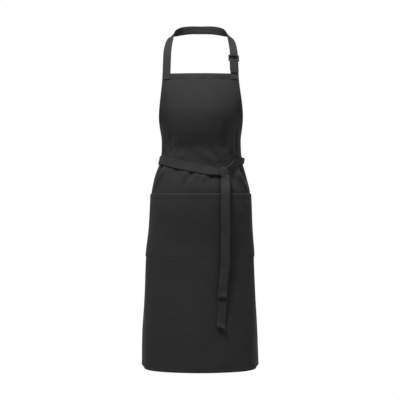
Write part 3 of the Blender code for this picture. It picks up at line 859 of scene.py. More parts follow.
def slider_plastic():
    """Moulded plastic with a fine spark-eroded grain and rubbed edges."""
    name = "apron slider"
    if name in bpy.data.materials:
        return bpy.data.materials[name]
    made, wire, shader = new_material(name)
    place = wire.add("ShaderNodeUVMap", uv_map="cloth").outputs["UV"]
    worn = wire.add("ShaderNodeAttribute", attribute_name="worn").outputs["Fac"]
    grain = wire.noise(place, 2600.0, 2.0)
    cloud = wire.noise(place, 240.0, 3.0)
    colour = bpy.context.scene.apron_slider.colour
    dark = (*colour, 1)
    pale = (*(1.6 * c + 0.004 for c in colour), 1)
    mask = wire.math("MULTIPLY", worn, wire.range(cloud, 0.3, 0.7, 0.2, 1.0))
    tinted = wire.blend(wire.range(cloud, 0.3, 0.7, 0.0, 0.35), dark, pale)
    wire.feed(shader.inputs["Base Color"], wire.blend(mask, tinted, pale))
    wire.feed(shader.inputs["Roughness"], wire.range(grain, 0.3, 0.7, 0.54, 0.70))
    bump = wire.add("ShaderNodeBump")
    bump.inputs["Strength"].default_value = 0.25
    bump.inputs["Distance"].default_value = 0.0001
    wire.feed(bump.inputs["Height"], grain)
    wire.feed(shader.inputs["Normal"], bump.outputs["Normal"])
    shader.inputs["Specular IOR Level"].default_value = 0.06
    return made


def floor_paint():
    name = "studio floor"
    if name in bpy.data.materials:
        return bpy.data.materials[name]
    made, wire, shader = new_material(name)
    place = wire.add("ShaderNodeTexCoord").outputs["Object"]
    cloud = wire.noise(place, 3.0, 4.0)
    grey = bpy.context.scene.apron_stage.floor_grey
    low, high = ((tone, tone, tone, 1) for tone in (grey - 0.02, grey + 0.02))
    wire.feed(shader.inputs["Base Color"], wire.blend(cloud, low, high))
    wire.feed(shader.inputs["Roughness"], wire.range(cloud, 0.3, 0.7, 0.75, 0.9))
    return made


def add_piece(name, points, faces, finish, uv=None, worn=None):
    """A mesh object with its cloth coordinates and its share of wear at each point."""
    mesh = bpy.data.meshes.new(name)
    mesh.from_pydata(np.asarray(points).reshape(-1, 3).tolist(), [], faces)
    layer = mesh.uv_layers.new(name="cloth")
    corners = np.zeros(len(mesh.loops), np.int32)
    mesh.loops.foreach_get("vertex_index", corners)
    flat = np.zeros((len(mesh.vertices), 2)) if uv is None else np.asarray(uv).reshape(-1, 2)
    layer.data.foreach_set("uv", flat[corners].astype(np.float32).ravel())
    share = np.zeros(len(mesh.vertices)) if worn is None else np.asarray(worn).ravel()
    mesh.attributes.new("worn", "FLOAT", "POINT").data.foreach_set("value", share.astype(np.float32))
    mesh.materials.append(finish)
    mesh.shade_smooth()
    made = bpy.data.objects.new(name, mesh)
    bpy.context.scene.collection.objects.link(made)
    return made


def square_up(piece):
    """Turns the faces of a closed mesh outwards."""
    shape = bmesh.new()
    shape.from_mesh(piece.data)
    bmesh.ops.recalc_face_normals(shape, faces=shape.faces)
    shape.to_mesh(piece.data)
    shape.free()


def grid_faces(rows, columns):
    """Quads between rows of points, as lists of their numbers."""
    first = np.arange(rows - 1)[:, None] * columns + np.arange(columns - 1)[None, :]
    quads = np.stack([first, first + columns, first + columns + 1, first + 1], axis=-1)
    return quads.reshape(-1, 4).tolist()


def thicken(piece, thickness):
    """Half the cloth's thickness on each side of a sheet."""
    solid = piece.modifiers.new("cloth thickness", "SOLIDIFY")
    solid.thickness = thickness
    solid.offset = 0
    return piece


def flat_sheet(name, heights, columns_at, lift_at, thickness, finish):
    """A sheet with plain edges on the cloth."""
    heights = np.asarray(heights, float)
    along = np.array([columns_at(z) for z in heights])
    points, _ = on_cloth(along, heights, lift_at(along, heights[:, None]))
    uv = np.stack(np.broadcast_arrays(along, heights[:, None]), axis=-1)
    piece = add_piece(name, points, grid_faces(*along.shape), finish, uv)
    return thicken(piece, thickness)


def edge_strips(half_at, width):
    """Columns of the strips along the left and the right edge of a cloth, at a height."""
    across = np.linspace(0, width, STRIP_COLUMNS)

    def left(height):
        return -half_at(height) + across

    def right(height):
        return -left(height)[::-1]

    return left, right


def turned_sheet(name, heights, columns_at, lift_at, finish):
    """A sheet on the cloth whose edges are turned to the inside."""
    turns = np.radians(TURN_ANGLES)
    count = len(turns)
    row_turn = np.concatenate([turns[::-1], np.zeros(len(heights)), turns])
    row_side = np.concatenate([np.ones(count), np.zeros(len(heights)), -np.ones(count)])
    edge_rows = np.pad(heights, count, mode="edge")
    along = np.array([columns_at(z) for z in edge_rows])
    inner = along.shape[1]
    along = np.pad(along, ((0, 0), (count, count)), mode="edge")
    column_turn = np.concatenate([turns[::-1], np.zeros(inner), turns])
    column_side = np.concatenate([-np.ones(count), np.zeros(inner), np.ones(count)])
    level = edge_rows[:, None]
    turn = np.maximum(row_turn[:, None], column_turn[None, :])
    lift = lift_at(along, level) - TURN_RADIUS * (1 - np.cos(turn))
    rows = edge_rows + row_side * TURN_RADIUS * np.sin(row_turn)
    points, _ = on_cloth(along + column_side * TURN_RADIUS * np.sin(column_turn), rows, lift)
    flat_along = along + column_side * TURN_RADIUS * column_turn
    flat_level = level + (row_side * TURN_RADIUS * row_turn)[:, None]
    uv = np.stack(np.broadcast_arrays(flat_along, flat_level), axis=-1)
    inside = np.minimum(np.abs(along[:, -1:]) - np.abs(along), heights[0] - level)
    inside = np.minimum(inside, level - heights[-1])
    worn = np.where(turn > 0, np.sin(turn), bell(inside, WORN_EDGE))
    piece = add_piece(name, points, grid_faces(*along.shape), finish, uv, worn)
    return thicken(piece, CLOTH)


class Seam:
    """Rows of stitches that become one piece."""

    def __init__(self):
        self.points = []
        self.faces = []

    def sew(self, way, outward, length=None):
        """One row of stitches along a way of points on a surface."""
        length = length or bpy.context.scene.apron_cloth.stitch_length
        places = way_lengths(way)
        count = max(1, round(places[-1] / length))
        pitch = places[-1] / count
        starts = np.arange(count) * pitch

        def at(share, values):
            where = starts + share * pitch
            return np.stack([np.interp(where, places, values[:, k]) for k in range(3)], axis=-1)

        tips = [at(share, way) - unit(at(share, outward)) * STITCH_DIP for share in STITCH_TIPS]
        ahead = unit(tips[1] - tips[0])
        shells = [tips[0][:, None, :]]
        turn = (math.tau * np.arange(STITCH_SIDES) / STITCH_SIDES)[None, :, None]
        for share, size in STITCH_RINGS:
            up = unit(at(share, outward))
            side = unit(np.cross(ahead, up))
            middle = at(share, way) + up * STITCH_RISE * size
            ring = np.cos(turn) * side[:, None, :] + np.sin(turn) * up[:, None, :]
            shells.append(middle[:, None, :] + ring * STITCH_RADIUS * size)
        shells.append(tips[1][:, None, :])
        block = np.concatenate(shells, axis=1)
        start = sum(len(made) for made in self.points)
        self.points.append(block.reshape(-1, 3))
        for i in range(count):
            self.faces += self.stitch_faces(start + i * block.shape[1])

    def stitch_faces(self, first):
        """The faces of one stitch: a tip, its rings and the other tip."""
        n = STITCH_SIDES
        last = first + 1 + n * len(STITCH_RINGS)
        faces = []
        for k in range(n):
            after = (k + 1) % n
            faces.append((first, first + 1 + after, first + 1 + k))
            for ring in range(len(STITCH_RINGS) - 1):
                low = first + 1 + ring * n
                faces.append((low + k, low + after, low + n + after, low + n + k))
            faces.append((last, last - n + k, last - n + after))
        return faces

    def finish(self, name):
        points = np.concatenate(self.points)
        uv = points[:, (0, 2)]
        made = add_piece(name, points, self.faces, sewing_thread(), uv)
        return made


def cloth_row(along, heights, lift_at):
    """A way along the outer face of a sheet on the cloth, and the ways out from it."""
    along, heights = np.broadcast_arrays(np.asarray(along, float), np.asarray(heights, float))
    lift = lift_at(along[:, None], heights[:, None]) + CLOTH / 2
    points, outward = on_cloth(along[:, None], heights, lift)
    return points[:, 0], outward[:, 0]


def ribbon_shares():
    side = np.array(RIBBON_SHARES)
    return np.concatenate([-side[::-1], [0], side])


def ribbon_piece(name, middles, outward, at, thickness, finish):
    """A closed ribbon with soft edges and ends, from the rows of its middle surface.

    Gives the piece, and for its stitches the two faces at the share RIBBON_STITCH of each half.
    """
    shares = ribbon_shares()
    ends = np.minimum(at - at[0], at[-1] - at)
    round_end = np.sqrt(1 - (1 - np.clip(ends / RIBBON_ENDS[-1], RIBBON_TIP, 1)) ** 2)
    edge = np.sqrt(1 - np.abs(shares) ** RIBBON_EDGE_POWER)
    groove = RIBBON_GROOVE * bell(np.abs(shares) - RIBBON_STITCH, RIBBON_GROOVE_SPREAD)
    half = np.asarray(thickness) / 2 * round_end
    cut = np.minimum(groove[None, :], RIBBON_GROOVE_LIMIT * half[:, None])
    rise = half[:, None] * edge[None, :] - cut * (edge > 0)
    top = middles + outward * rise[..., None]
    under = middles - outward * rise[..., None]
    ring = np.concatenate([top, under[:, -2:0:-1]], axis=1)
    rows, around = ring.shape[:2]
    width = np.linalg.norm(middles[:, -1] - middles[:, 0], axis=-1)
    u = shares[None, :] * width[:, None] / 2
    v = np.broadcast_to(at[:, None], u.shape)
    flat = np.stack([u, v], axis=-1)
    uv = np.concatenate([flat, flat[:, -2:0:-1]], axis=1)
    rub = np.broadcast_to(bell(1 - np.abs(shares), RIBBON_WORN)[None, :], u.shape)
    worn = np.concatenate([rub, rub[:, -2:0:-1]], axis=1)
    quads = np.arange(rows - 1)[:, None] * around + np.arange(around)[None, :]
    ahead = np.arange(rows - 1)[:, None] * around + (np.arange(around)[None, :] + 1) % around
    faces = np.stack([quads, quads + around, ahead + around, ahead], axis=-1).reshape(-1, 4).tolist()
    columns = len(shares)
    for first in (0, (rows - 1) * around):
        for k in range(columns - 1):
            corner = [first + k, first + k + 1]
            if k + 1 < columns - 1:
                corner.append(first + around - k - 1)
            if k > 0:
                corner.append(first + around - k)
            faces.append(corner)
    piece = add_piece(name, ring, faces, finish, uv, worn)
    square_up(piece)
    lines = [int(np.argmin(np.abs(shares - side * RIBBON_STITCH))) for side in (-1, 1)]
    sewn = [(top[:, k], outward[:, k]) for k in lines] + [(under[:, k], -outward[:, k]) for k in lines]
    return piece, sewn


def end_graded(way, *others):
    """A way with closer points at both ends, other values at the same places, and the lengths along it."""
    lengths = way_lengths(way)
    extra = [shift for step in RIBBON_ENDS for shift in (step, lengths[-1] - step)]
    clear = [x for x in lengths if RIBBON_ENDS[-1] < x < lengths[-1] - RIBBON_ENDS[-1]]
    at = np.array(sorted({0.0, lengths[-1], *extra, *clear}))

    def placed(values):
        return np.stack([np.interp(at, lengths, values[:, k]) for k in range(values.shape[1])], axis=-1)

    return placed(way), [placed(values) for values in others], at


def ribbon(name, way, outer, width, thickness, finish, shape=None):
    """A ribbon along a way of points, with the way to its outer edge at each; shape moves its surface out."""
    way, (outer,), at = end_graded(np.asarray(way), np.asarray(outer))
    ahead = unit(np.gradient(way, at, axis=0))
    side = unit(outer - ahead * np.sum(outer * ahead, axis=-1, keepdims=True))
    normal = np.cross(ahead, side)
    shares = ribbon_shares()
    middles = way[:, None, :] + side[:, None, :] * (shares * width / 2)[None, :, None]
    if shape is not None:
        middles = middles + normal[:, None, :] * shape(shares[None, :], at[:, None])[..., None]
    outward = np.broadcast_to(normal[:, None, :], middles.shape)
    return ribbon_piece(name, middles, outward, at, thickness, finish)


def smooth_way(points, steps):
    """Points on a smooth curve through the given ones, with this many steps between each two."""
    points = [np.asarray(point, float) for point in points]
    found = []
    last = len(points) - 1
    for i in range(last):
        before, start, end, after = (points[min(max(k, 0), last)] for k in (i - 1, i, i + 1, i + 2))
        for k in range(steps):
            t = k / steps
            bend = 2 * before - 5 * start + 4 * end - after
            turn = 3 * (start - end) + after - before
            found.append((2 * start + (end - before) * t + bend * t**2 + turn * t**3) / 2)
    return np.array([*found, points[last]])


class Corner:
    """A strap's frame on a bib corner: X away from the middle, Y up the strap and Z off the cloth."""

    def __init__(self, side):
        along = BIB_HALF - STRAP_INSET
        rows = np.array([BIB_TOP, BIB_TOP, BIB_TOP, BIB_TOP - BIB_HEM])
        angle = [cloth_angle(s, z) for s, z in zip((along, BIB_HALF, along - STRAP_INSET, along), rows)]
        at, outer, inner, below = form_outline(np.array(angle), rows)[0]
        across = unit(outer - inner)
        outward = unit(np.cross(across, at - below))
        across = across * math.cos(STRAP_LEAN) + np.cross(outward, across) * math.sin(STRAP_LEAN)
        mirror = np.array((side, 1, 1))
        self.at = at * mirror
        self.axes = np.array((across, np.cross(outward, across), outward)) * mirror

    def places(self, way):
        """Points on the strap's middle line, from (height, distance off the cloth)."""
        way = np.asarray(way, float)
        return self.at + way[:, :1] * self.axes[1] + way[:, 1:] * self.axes[2]

    def outer(self, count):
        return np.repeat(self.axes[:1], count, axis=0)


def slider_levels():
    """Heights up the strap of the slider's lower, middle and upper bars, each at its lower edge."""
    middle = SLIDER_FROM + SLIDER_BAR + LOWER_SLOT
    return SLIDER_FROM, middle, middle + SLIDER_BAR + UPPER_SLOT


def wrap_distance():
    """From the middle of a slider bar to the middle of the strap that lies on it."""
    return SLIDER_DEPTH / 2 + GAP + STRAP_CLOTH / 2


def slider_plane():
    return STRAP_LIFT - wrap_distance()


def round_lower_bar(reach, turn):
    """A place on the way round the slider's lower bar, turned from its front towards its top."""
    top = SLIDER_FROM + SLIDER_BAR - SLIDER_DEPTH / 2
    return top + reach * math.sin(turn), slider_plane() + reach * math.cos(turn)


def over_tab():
    """From the middle of the lower bar to the middle of the neck strap that lies on the tab there."""
    return wrap_distance() + STRAP_CLOTH + GAP


def weave_points():
    """The neck strap's way down the slider: over the upper bar, behind the middle one and out again."""
    lower, middle, upper = slider_levels()
    back = slider_plane() - wrap_distance()
    points = [
        (STRAIGHT_RUN, STRAP_LIFT),
        (upper + SLIDER_BAR, STRAP_LIFT),
        (upper, STRAP_LIFT),
        ((upper + middle + SLIDER_BAR) / 2, slider_plane()),
        (middle + SLIDER_BAR, back),
        (middle, back),
    ]
    points += [round_lower_bar(over_tab(), math.radians(turn)) for turn in (60, 30, 0)]
    return [*points, (lower - TAIL_FROM, slider_plane() + over_tab())]


def shoulder_way(start, end):
    """The strap's middle line over the shoulders, between two straight runs given by two points each."""
    right = [np.array(place[:3]) for place in SHOULDER_WAY]
    left = [point * (-1, 1, 1) for point in right]
    return smooth_way([*start, *left, *right[-2::-1], *end], SHOULDER_STEPS)[SHOULDER_STEPS:-SHOULDER_STEPS]


def shoulder_turns(start, end):
    """The way to the strap's outer edge at each point of that middle line."""
    right = []
    for place in SHOULDER_WAY:
        turn = math.radians(place[3])
        right.append(np.array((math.cos(turn), SHOULDER_TOE * math.cos(turn), -math.sin(turn))))
    left = [way * (-1, 1, 1) for way in right]
    turns = smooth_way([start, start, *left, *right[-2::-1], end, end], SHOULDER_STEPS)
    return turns[SHOULDER_STEPS:-SHOULDER_STEPS]


def eased(values, first, last):
    """Values along a way, with the kinks between two of them smoothed out."""
    values = values.copy()
    part = values[first:last]
    for _ in range(STRAP_EASING):
        part[1:-1] = (part[:-2] + 2 * part[1:-1] + part[2:]) / 4
    return values


def bend_with_loop(piece):
    """Bakes the piece's placing into its points."""
    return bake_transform(piece)


def sew_across(seam, corner, up, off):
    """A row of stitches across a strap, this far up it and off the cloth."""
    half = RIBBON_STITCH * STRAP_WIDTH / 2
    across = np.linspace(-half, half, SEWN_POINTS)[:, None]
    way = corner.at + across * corner.axes[0] + up * corner.axes[1] + off * corner.axes[2]
    seam.sew(way, np.repeat(corner.axes[2:], len(across), axis=0))


def sew_sewn_end(seam, corner):
    """Two rows of stitches across a strap's end on the bib."""
    for row in SEWN_ROWS:
        sew_across(seam, corner, row - BIB_HEM, STRAP_LIFT + STRAP_CLOTH / 2)


def tie_surface(way, side, crossing):
    """The rows of a waist tie's middle surface, from its sewn end to its tuck in the knot."""
    first, last = way[0][0], way[-1][0] - TIE_TUCK
    degrees = np.linspace(first, last, round((first - last) / TIE_STEP) + 1)
    slope = (way[-1][1] - way[-2][1]) / (way[-1][0] - way[-2][0])
    longer = [*way, (last, way[-1][1] + TIE_LEVELLING * slope * (last - way[-1][0]))]
    height = smooth_through(longer, degrees)[:, 0]
    rise = np.gradient(height, np.radians(degrees)) / WAIST_HALF
    near = smooth_step(way[-1][0] + TIE_PINCH_FROM, way[-1][0] - TIE_TUCK / 2, degrees)[:, None]
    over = crossing * smooth_step(*CROSSING_ANGLES, np.abs(degrees - 180))[:, None]
    half = TIE_WIDTH / 2 * np.hypot(1, rise)[:, None]
    half = half * (1 - (TIE_PINCH_RIGHT if side > 0 else TIE_PINCH) * near)
    if side > 0:
        bunch = smooth_step(*BUNCH_FRONT, degrees) * smooth_step(*BUNCH_BACK, degrees)
        half = half * (1 - TIE_BUNCH * bunch[:, None])
        tilt = TIE_TILT * smooth_step(*TILT_FADE, degrees)[:, None]
        over = over + tilt * (1 + ribbon_shares()[None, :]) / 2
    shares = ribbon_shares()[None, :] * side
    tuck = smooth_step(way[-1][0] + TIE_TUCK_FROM, last, degrees)[:, None]
    pleats = np.cos(TIE_PLEATS * math.pi * shares)
    lift = TIE_LIFT + over + TIE_RISE * tuck + TIE_PLEAT * near * pleats
    lift = lift + TIE_ROLL * near * (1 - tuck) * bell(shares * side - ROLL_SHARE, ROLL_SPREAD)
    turn = np.radians(side * degrees)[:, None]
    return on_form(turn + 0 * shares, height[:, None] + shares * half, lift + 0 * shares)


def knot_middle():
    across, height = KNOT_AT
    return on_form(front_angle(across, height), height, KNOT_STANDOFF)[0]


def tail_depth(height, layer):
    """The Y of a tie end's middle: clear of the cloth and the pocket behind its inner edge."""
    inner = TAIL_X - TIE_WIDTH / 2
    pocket = 0.0
    if POCKET_BOTTOM <= height <= POCKET_TOP:
        pocket = float(pocket_lift(inner, height)) + CLOTH
    lift = pocket + TAIL_CLEARANCE + float(fold_lift(inner, height)) + TIE_WIDTH / 2 * math.tan(TAIL_YAW)
    return on_form(front_angle(inner, height), height, lift)[0][1] - layer * TAIL_SPACING


def tail_hinge(layer):
    """The middle of a tie end's top edge, just under the knot."""
    knot = knot_middle()
    forward = HINGE_FORWARD + layer * HINGE_SPACING
    return np.array((TAIL_X, knot[1] - forward, knot[2] - KNOT_HEIGHT / 2 - HINGE_GAP))


def tail_way(end, drift, layer):
    """The middle line of a hanging tie end, from the knot to its folded end and up behind it."""
    hinge = tail_hinge(layer)
    mouth = POCKET_TOP + POCKET_CLEARANCE
    seam = POCKET_BOTTOM - POCKET_CLEARANCE
    levels = [hinge[2], mouth, POCKET_TOP - POCKET_EASE, POCKET_BOTTOM + POCKET_EASE, seam, end]
    depths = [hinge[1], tail_depth(POCKET_TOP, layer)]
    for height in levels[2:]:
        depths.append(min(tail_depth(height, layer), depths[1]))
    depths[-1] = min(depths[-2:])
    heights = np.linspace(hinge[2], end, round((hinge[2] - end) / TAIL_STEP) + 1)
    shifts = np.linspace(-2, 2, SOFTEN_SAMPLES)
    weights = np.exp(-(shifts**2)) / np.exp(-(shifts**2)).sum()
    keep = np.minimum(heights[0] - heights, heights - heights[-1]) / 2
    spread = np.minimum(TAIL_SOFTEN, keep)[:, None] * shifts[None, :]
    sampled = np.interp(-(heights[:, None] + spread), [-z for z in levels], depths)
    x = hinge[0] + drift * smooth_step(TAIL_DRIFT_FROM, end, heights)
    front = np.stack([x, sampled @ weights, heights], axis=-1)
    behind = (TIE_CLOTH + HEM_CLOTH) / 2 + GAP
    turn = np.radians(FOLD_TURNS)
    bottom = front[-1]
    fold = [bottom + behind / 2 * np.array((0, 1 - math.cos(t), -math.sin(t))) for t in turn]
    back = [bottom + (0, behind, z) for z in np.linspace(0, TIE_END_HEM, FOLD_BACK_POINTS)]
    way = np.concatenate([front, fold, back])
    way[:, 1] -= TAIL_FLIP * smooth_step(end + TAIL_FLIP_LENGTH, end, way[:, 2])
    return way


def rounded_block(size, rows, columns):
    """Points and faces of a soft-cornered block with pleats round it, as (points, faces)."""
    lift = np.linspace(-math.pi / 2, math.pi / 2, rows + 2)[1:-1]
    turn = math.tau * np.arange(columns) / columns

    def soft(value):
        return np.sign(value) * np.abs(value) ** CORE_SOFTNESS

    flat = soft(np.cos(lift))[:, None]
    up, round_it = CORE_PLEATS
    pleat = 1 + CORE_PLEAT * np.cos(up * lift)[:, None] * np.cos(round_it * turn + CORE_PLEAT_TURN)[None, :]
    x = size[0] / 2 * flat * soft(np.cos(turn))[None, :] * pleat
    y = size[1] / 2 * flat * soft(np.sin(turn))[None, :] * pleat
    z = np.broadcast_to(size[2] / 2 * soft(np.sin(lift))[:, None], x.shape)
    points = np.stack([x, y, z], axis=-1).reshape(-1, 3)
    points = np.concatenate([points, [(0, 0, -size[2] / 2), (0, 0, size[2] / 2)]])
    faces = []
    for k in range(columns):
        after = (k + 1) % columns
        for i in range(rows - 1):
            low = i * columns
            faces.append((low + k, low + after, low + columns + after, low + columns + k))
        top = (rows - 1) * columns
        faces.append((after, k, len(points) - 2))
        faces.append((top + k, top + after, len(points) - 1))
    return points, faces


class ClothSettings(PropertyGroup):
    """Cloth and thread."""

    colour: FloatVectorProperty(
        name="Cloth colour", description="Dye of the twill", subtype="COLOR", size=3, min=0, max=1,
        default=slot_colour("charcoal_twill"),
    )
    tape_colour: FloatVectorProperty(
        name="Tape colour", description="Dye of the straps and ties", subtype="COLOR", size=3, min=0, max=1,
        default=tuple(TAPE_PALER * part for part in slot_colour("charcoal_twill")),
    )
    inside_colour: FloatVectorProperty(
        name="Hem colour", description="Dye of the turned hems", subtype="COLOR", size=3, min=0, max=1,
        default=slot_colour("twill_turnings"),
    )
    thread_colour: FloatVectorProperty(
        name="Thread colour", description="Colour of the stitches", subtype="COLOR", size=3, min=0, max=1,
        default=(0.030, 0.030, 0.031),
    )
    rib_spacing: FloatProperty(
        name="Rib spacing", description="Distance between the ribs of the twill", unit="LENGTH",
        default=0.0016, min=0.0004, max=0.005,
    )
    stitch_length: FloatProperty(
        name="Stitch length", description="Length of one stitch", unit="LENGTH",
        default=0.0034, min=0.0015, max=0.008,
    )


class SliderSettings(PropertyGroup):
    """Moulded slider."""

    colour: FloatVectorProperty(
        name="Slider colour", description="Colour of the plastic", subtype="COLOR", size=3, min=0, max=1,
        default=slot_colour("slider_plastic"),
    )


class StageSettings(PropertyGroup):
    """Studio light and floor."""

    key_power: FloatProperty(
        name="Key light", description="Power of the large light above the front", unit="POWER",
        default=49.5, min=0, max=1000,
    )
    fill_power: FloatProperty(
        name="Fill light", description="Power of the soft light above the right", unit="POWER",
        default=16.0, min=0, max=1000,
    )
    back_power: FloatProperty(
        name="Back light", description="Power of the soft light behind", unit="POWER",
        default=40.0, min=0, max=1000,
    )
    surround: FloatProperty(
        name="Surround", description="Brightness of the white surround on the object",
        default=0.10, min=0, max=1,
    )
    floor_grey: FloatProperty(
        name="Floor", description="How pale the floor is", subtype="FACTOR", default=0.86, min=0, max=1,
    )


class APRON_OT_front_panel(Operator):
    """Hang the front panel with its folds, gathers and hem stitching"""

    bl_idname = "apron.front_panel"
    bl_label = "Front panel"

    def execute(self, context):
        heights = panel_heights()
        panel = turned_sheet("front_panel_cloth", heights, panel_columns, panel_lift, charcoal_twill())
        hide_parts("front_panel")
        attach(panel, "apron")
        seam = Seam()
        inset = stitch_inset(EDGE_HEM)
        top, bottom = BIB_TOP - stitch_inset(BIB_HEM), HEM_BOTTOM + inset
        rows = np.linspace(BIB_TOP - SEAM_END, HEM_BOTTOM + SEAM_END, EDGE_SEAM_POINTS)
        edge = panel_half(rows) - inset
        for side in (-1, 1):
            seam.sew(*cloth_row(side * edge, rows, panel_lift))
        for level in (top, bottom):
            reach = float(panel_half(level)) - SEAM_END
            seam.sew(*cloth_row(np.linspace(-reach, reach, CROSS_SEAM_POINTS), level, panel_lift))
        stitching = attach(seam.finish("front_panel_stitching"), "apron")
        return {"FINISHED"}


class APRON_OT_panel_hems(Operator):
    """Turn the hems to the inside of the front panel's edges"""

    bl_idname = "apron.panel_hems"
    bl_label = "Panel hems"

    def execute(self, context):
        def inside(along, level):
            return panel_lift(along, level) - 2 * TURN_RADIUS

        left_edge, right_edge = edge_strips(panel_half, EDGE_HEM)
        heights = panel_heights()
        armhole_top, side_bottom = BIB_TOP - BIB_HEM - HEM_TRIM, HEM_BOTTOM + EDGE_HEM + HEM_TRIM
        armhole = [z for z in heights if WAIST_CORNER < z < armhole_top]
        side = [z for z in heights if side_bottom < z < WAIST_CORNER - HEM_TRIM]
        armhole = [armhole_top, *armhole, WAIST_CORNER]
        side = [WAIST_CORNER - HEM_TRIM, *side, side_bottom]
        hems = (
            ("bib_top_hem", panel_columns, np.linspace(BIB_TOP, BIB_TOP - BIB_HEM, BROAD_HEM_ROWS)),
            ("armhole_hem_left", left_edge, armhole),
            ("armhole_hem_right", right_edge, armhole),
            ("side_hem_left", left_edge, side),
            ("side_hem_right", right_edge, side),
            ("bottom_hem", panel_columns, np.linspace(HEM_BOTTOM + EDGE_HEM, HEM_BOTTOM, NARROW_HEM_ROWS)),
        )
        for node, columns_at, levels in hems:
            hem = flat_sheet(node + "_cloth", levels, columns_at, inside, HEM_CLOTH, twill_turnings())
            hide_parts(node)
            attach(hem, "apron")
        return {"FINISHED"}

    def edge_length(self, levels):
        return way_lengths(np.stack([panel_half(np.array(levels)), np.array(levels)], axis=-1))[-1]


class APRON_OT_pocket(Operator):
    """Sew on the patch pocket, with its turned edges"""

    bl_idname = "apron.pocket"
    bl_label = "Pocket"

    def execute(self, context):
        heights = pocket_heights()
        pocket = turned_sheet("pocket_panel_cloth", heights, pocket_columns, pocket_face, charcoal_twill())
        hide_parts("pocket_panel")
        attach(pocket, "apron")
        seam = self.stitches()
        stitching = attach(seam.finish("pocket_stitching"), "apron")
        turnings = self.turnings(heights)
        return {"FINISHED"}

    def stitches(self):
        seam = Seam()
        half = POCKET_HALF - POCKET_EDGE_STITCH
        low = POCKET_BOTTOM + POCKET_EDGE_STITCH
        across = np.linspace(-half, half, POCKET_SEAM_POINTS)
        top = POCKET_TOP - SEAM_END
        for row in POCKET_ROWS_OF_STITCHES:
            seam.sew(*cloth_row(across, POCKET_TOP - row, pocket_face))
        seam.sew(*cloth_row(across, low, pocket_face))
        for side in (-1, 1):
            seam.sew(*cloth_row(side * half, np.linspace(top, low, POCKET_SIDE_POINTS), pocket_face))
            tack = np.linspace(top, top - BARTACK, BARTACK_POINTS)
            seam.sew(*cloth_row(side * (half - BARTACK_INSET), tack, pocket_face), length=BARTACK_STITCH)
        return seam

    def turnings(self, heights):
        def under(along, level):
            return pocket_face(along, level) - 2 * TURN_RADIUS

        left_edge, right_edge = edge_strips(pocket_half, POCKET_SEAM)
        top, bottom = POCKET_TOP - POCKET_HEM, POCKET_BOTTOM + POCKET_SEAM
        side = [z for z in heights if bottom + HEM_TRIM < z < top - HEM_TRIM]
        strips = (
            ("pocket_top_hem", pocket_columns, np.linspace(POCKET_TOP, top, BROAD_HEM_ROWS)),
            ("pocket_bottom_seam", pocket_columns, np.linspace(bottom, POCKET_BOTTOM, NARROW_HEM_ROWS)),
            ("pocket_side_seam_left", left_edge, side),
            ("pocket_side_seam_right", right_edge, side),
        )
        made = []
        for node, columns_at, levels in strips:
            strip = flat_sheet(node + "_cloth", levels, columns_at, under, HEM_CLOTH, twill_turnings())
            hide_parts(node)
            made.append(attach(strip, "apron"))
        return made


class APRON_OT_neck_strap(Operator):
    """Sew the neck strap and the slider's tab on the bib's corners"""

    bl_idname = "apron.neck_strap"
    bl_label = "Neck strap and tab"

    def execute(self, context):
        left, right = Corner(-1), Corner(1)
        seam = Seam()
        self.strap(left, right, seam)
        self.tab(right, seam)
        sew_sewn_end(seam, left)
        sew_sewn_end(seam, right)
        bend_with_loop(seam.finish("neck_strap_stitching"))
        return {"FINISHED"}

    def strap(self, left, right, seam):
        run = np.linspace(-BIB_HEM, STRAIGHT_RUN, STRAIGHT_POINTS)
        left_run = left.places([(up, STRAP_LIFT) for up in run])
        right_run = right.places(smooth_way(weave_points(), WEAVE_STEPS))
        straight = right.places([(STRAIGHT_RUN, STRAP_LIFT), (run[STRAIGHT_AIM], STRAP_LIFT)])
        over = shoulder_way(left_run[[STRAIGHT_AIM, -1]], straight)
        way = np.concatenate([left_run[:-1], over, right_run[1:]])
        turns = shoulder_turns(left.axes[0], right.axes[0])
        outer = np.concatenate([left.outer(len(left_run) - 1), turns, right.outer(len(right_run) - 1)])
        first, last = np.searchsorted(run, STRAP_EASED_FROM), len(left_run) + len(over) + 2
        way, outer = eased(way, first, last), eased(outer, first, last)

        def creases(shares, at):
            loop = smooth_step(*STRAP_CREASE_ENDS, at) * smooth_step(*STRAP_CREASE_ENDS, at[-1] - at)
            wander = STRAP_CREASE_WANDER * np.sin(math.tau * at / STRAP_CREASE_LENGTH)
            return STRAP_CREASE * loop * np.cos(STRAP_CREASES * math.pi * shares + wander)

        strap, sewn = ribbon(
            "neck_strap_cloth", way, outer, STRAP_WIDTH, STRAP_CLOTH, tape_twill(), creases
        )
        for row in sewn:
            seam.sew(*row)
        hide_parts("neck_strap", "strap_anchor_left")
        bend_with_loop(strap)

    def tab(self, right, seam):
        way = [(up, STRAP_LIFT) for up in np.linspace(-BIB_HEM, SLIDER_FROM, TAB_POINTS)]
        way += [round_lower_bar(wrap_distance(), turn) for turn in np.linspace(0, math.pi, TAB_TURN_POINTS)]
        back = slider_plane() - wrap_distance()
        way += [(up, back) for up in np.linspace(SLIDER_FROM, TAB_RETURN, TAB_RETURN_POINTS)]
        places = right.places(way)
        tab, sewn = ribbon(
            "slider_tab_cloth", places[::-1], right.outer(len(places)), STRAP_WIDTH, STRAP_CLOTH, tape_twill()
        )
        for row in sewn[:2]:
            seam.sew(*row)
        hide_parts("slider_tab", "tab_anchor_right")
        bend_with_loop(tab)


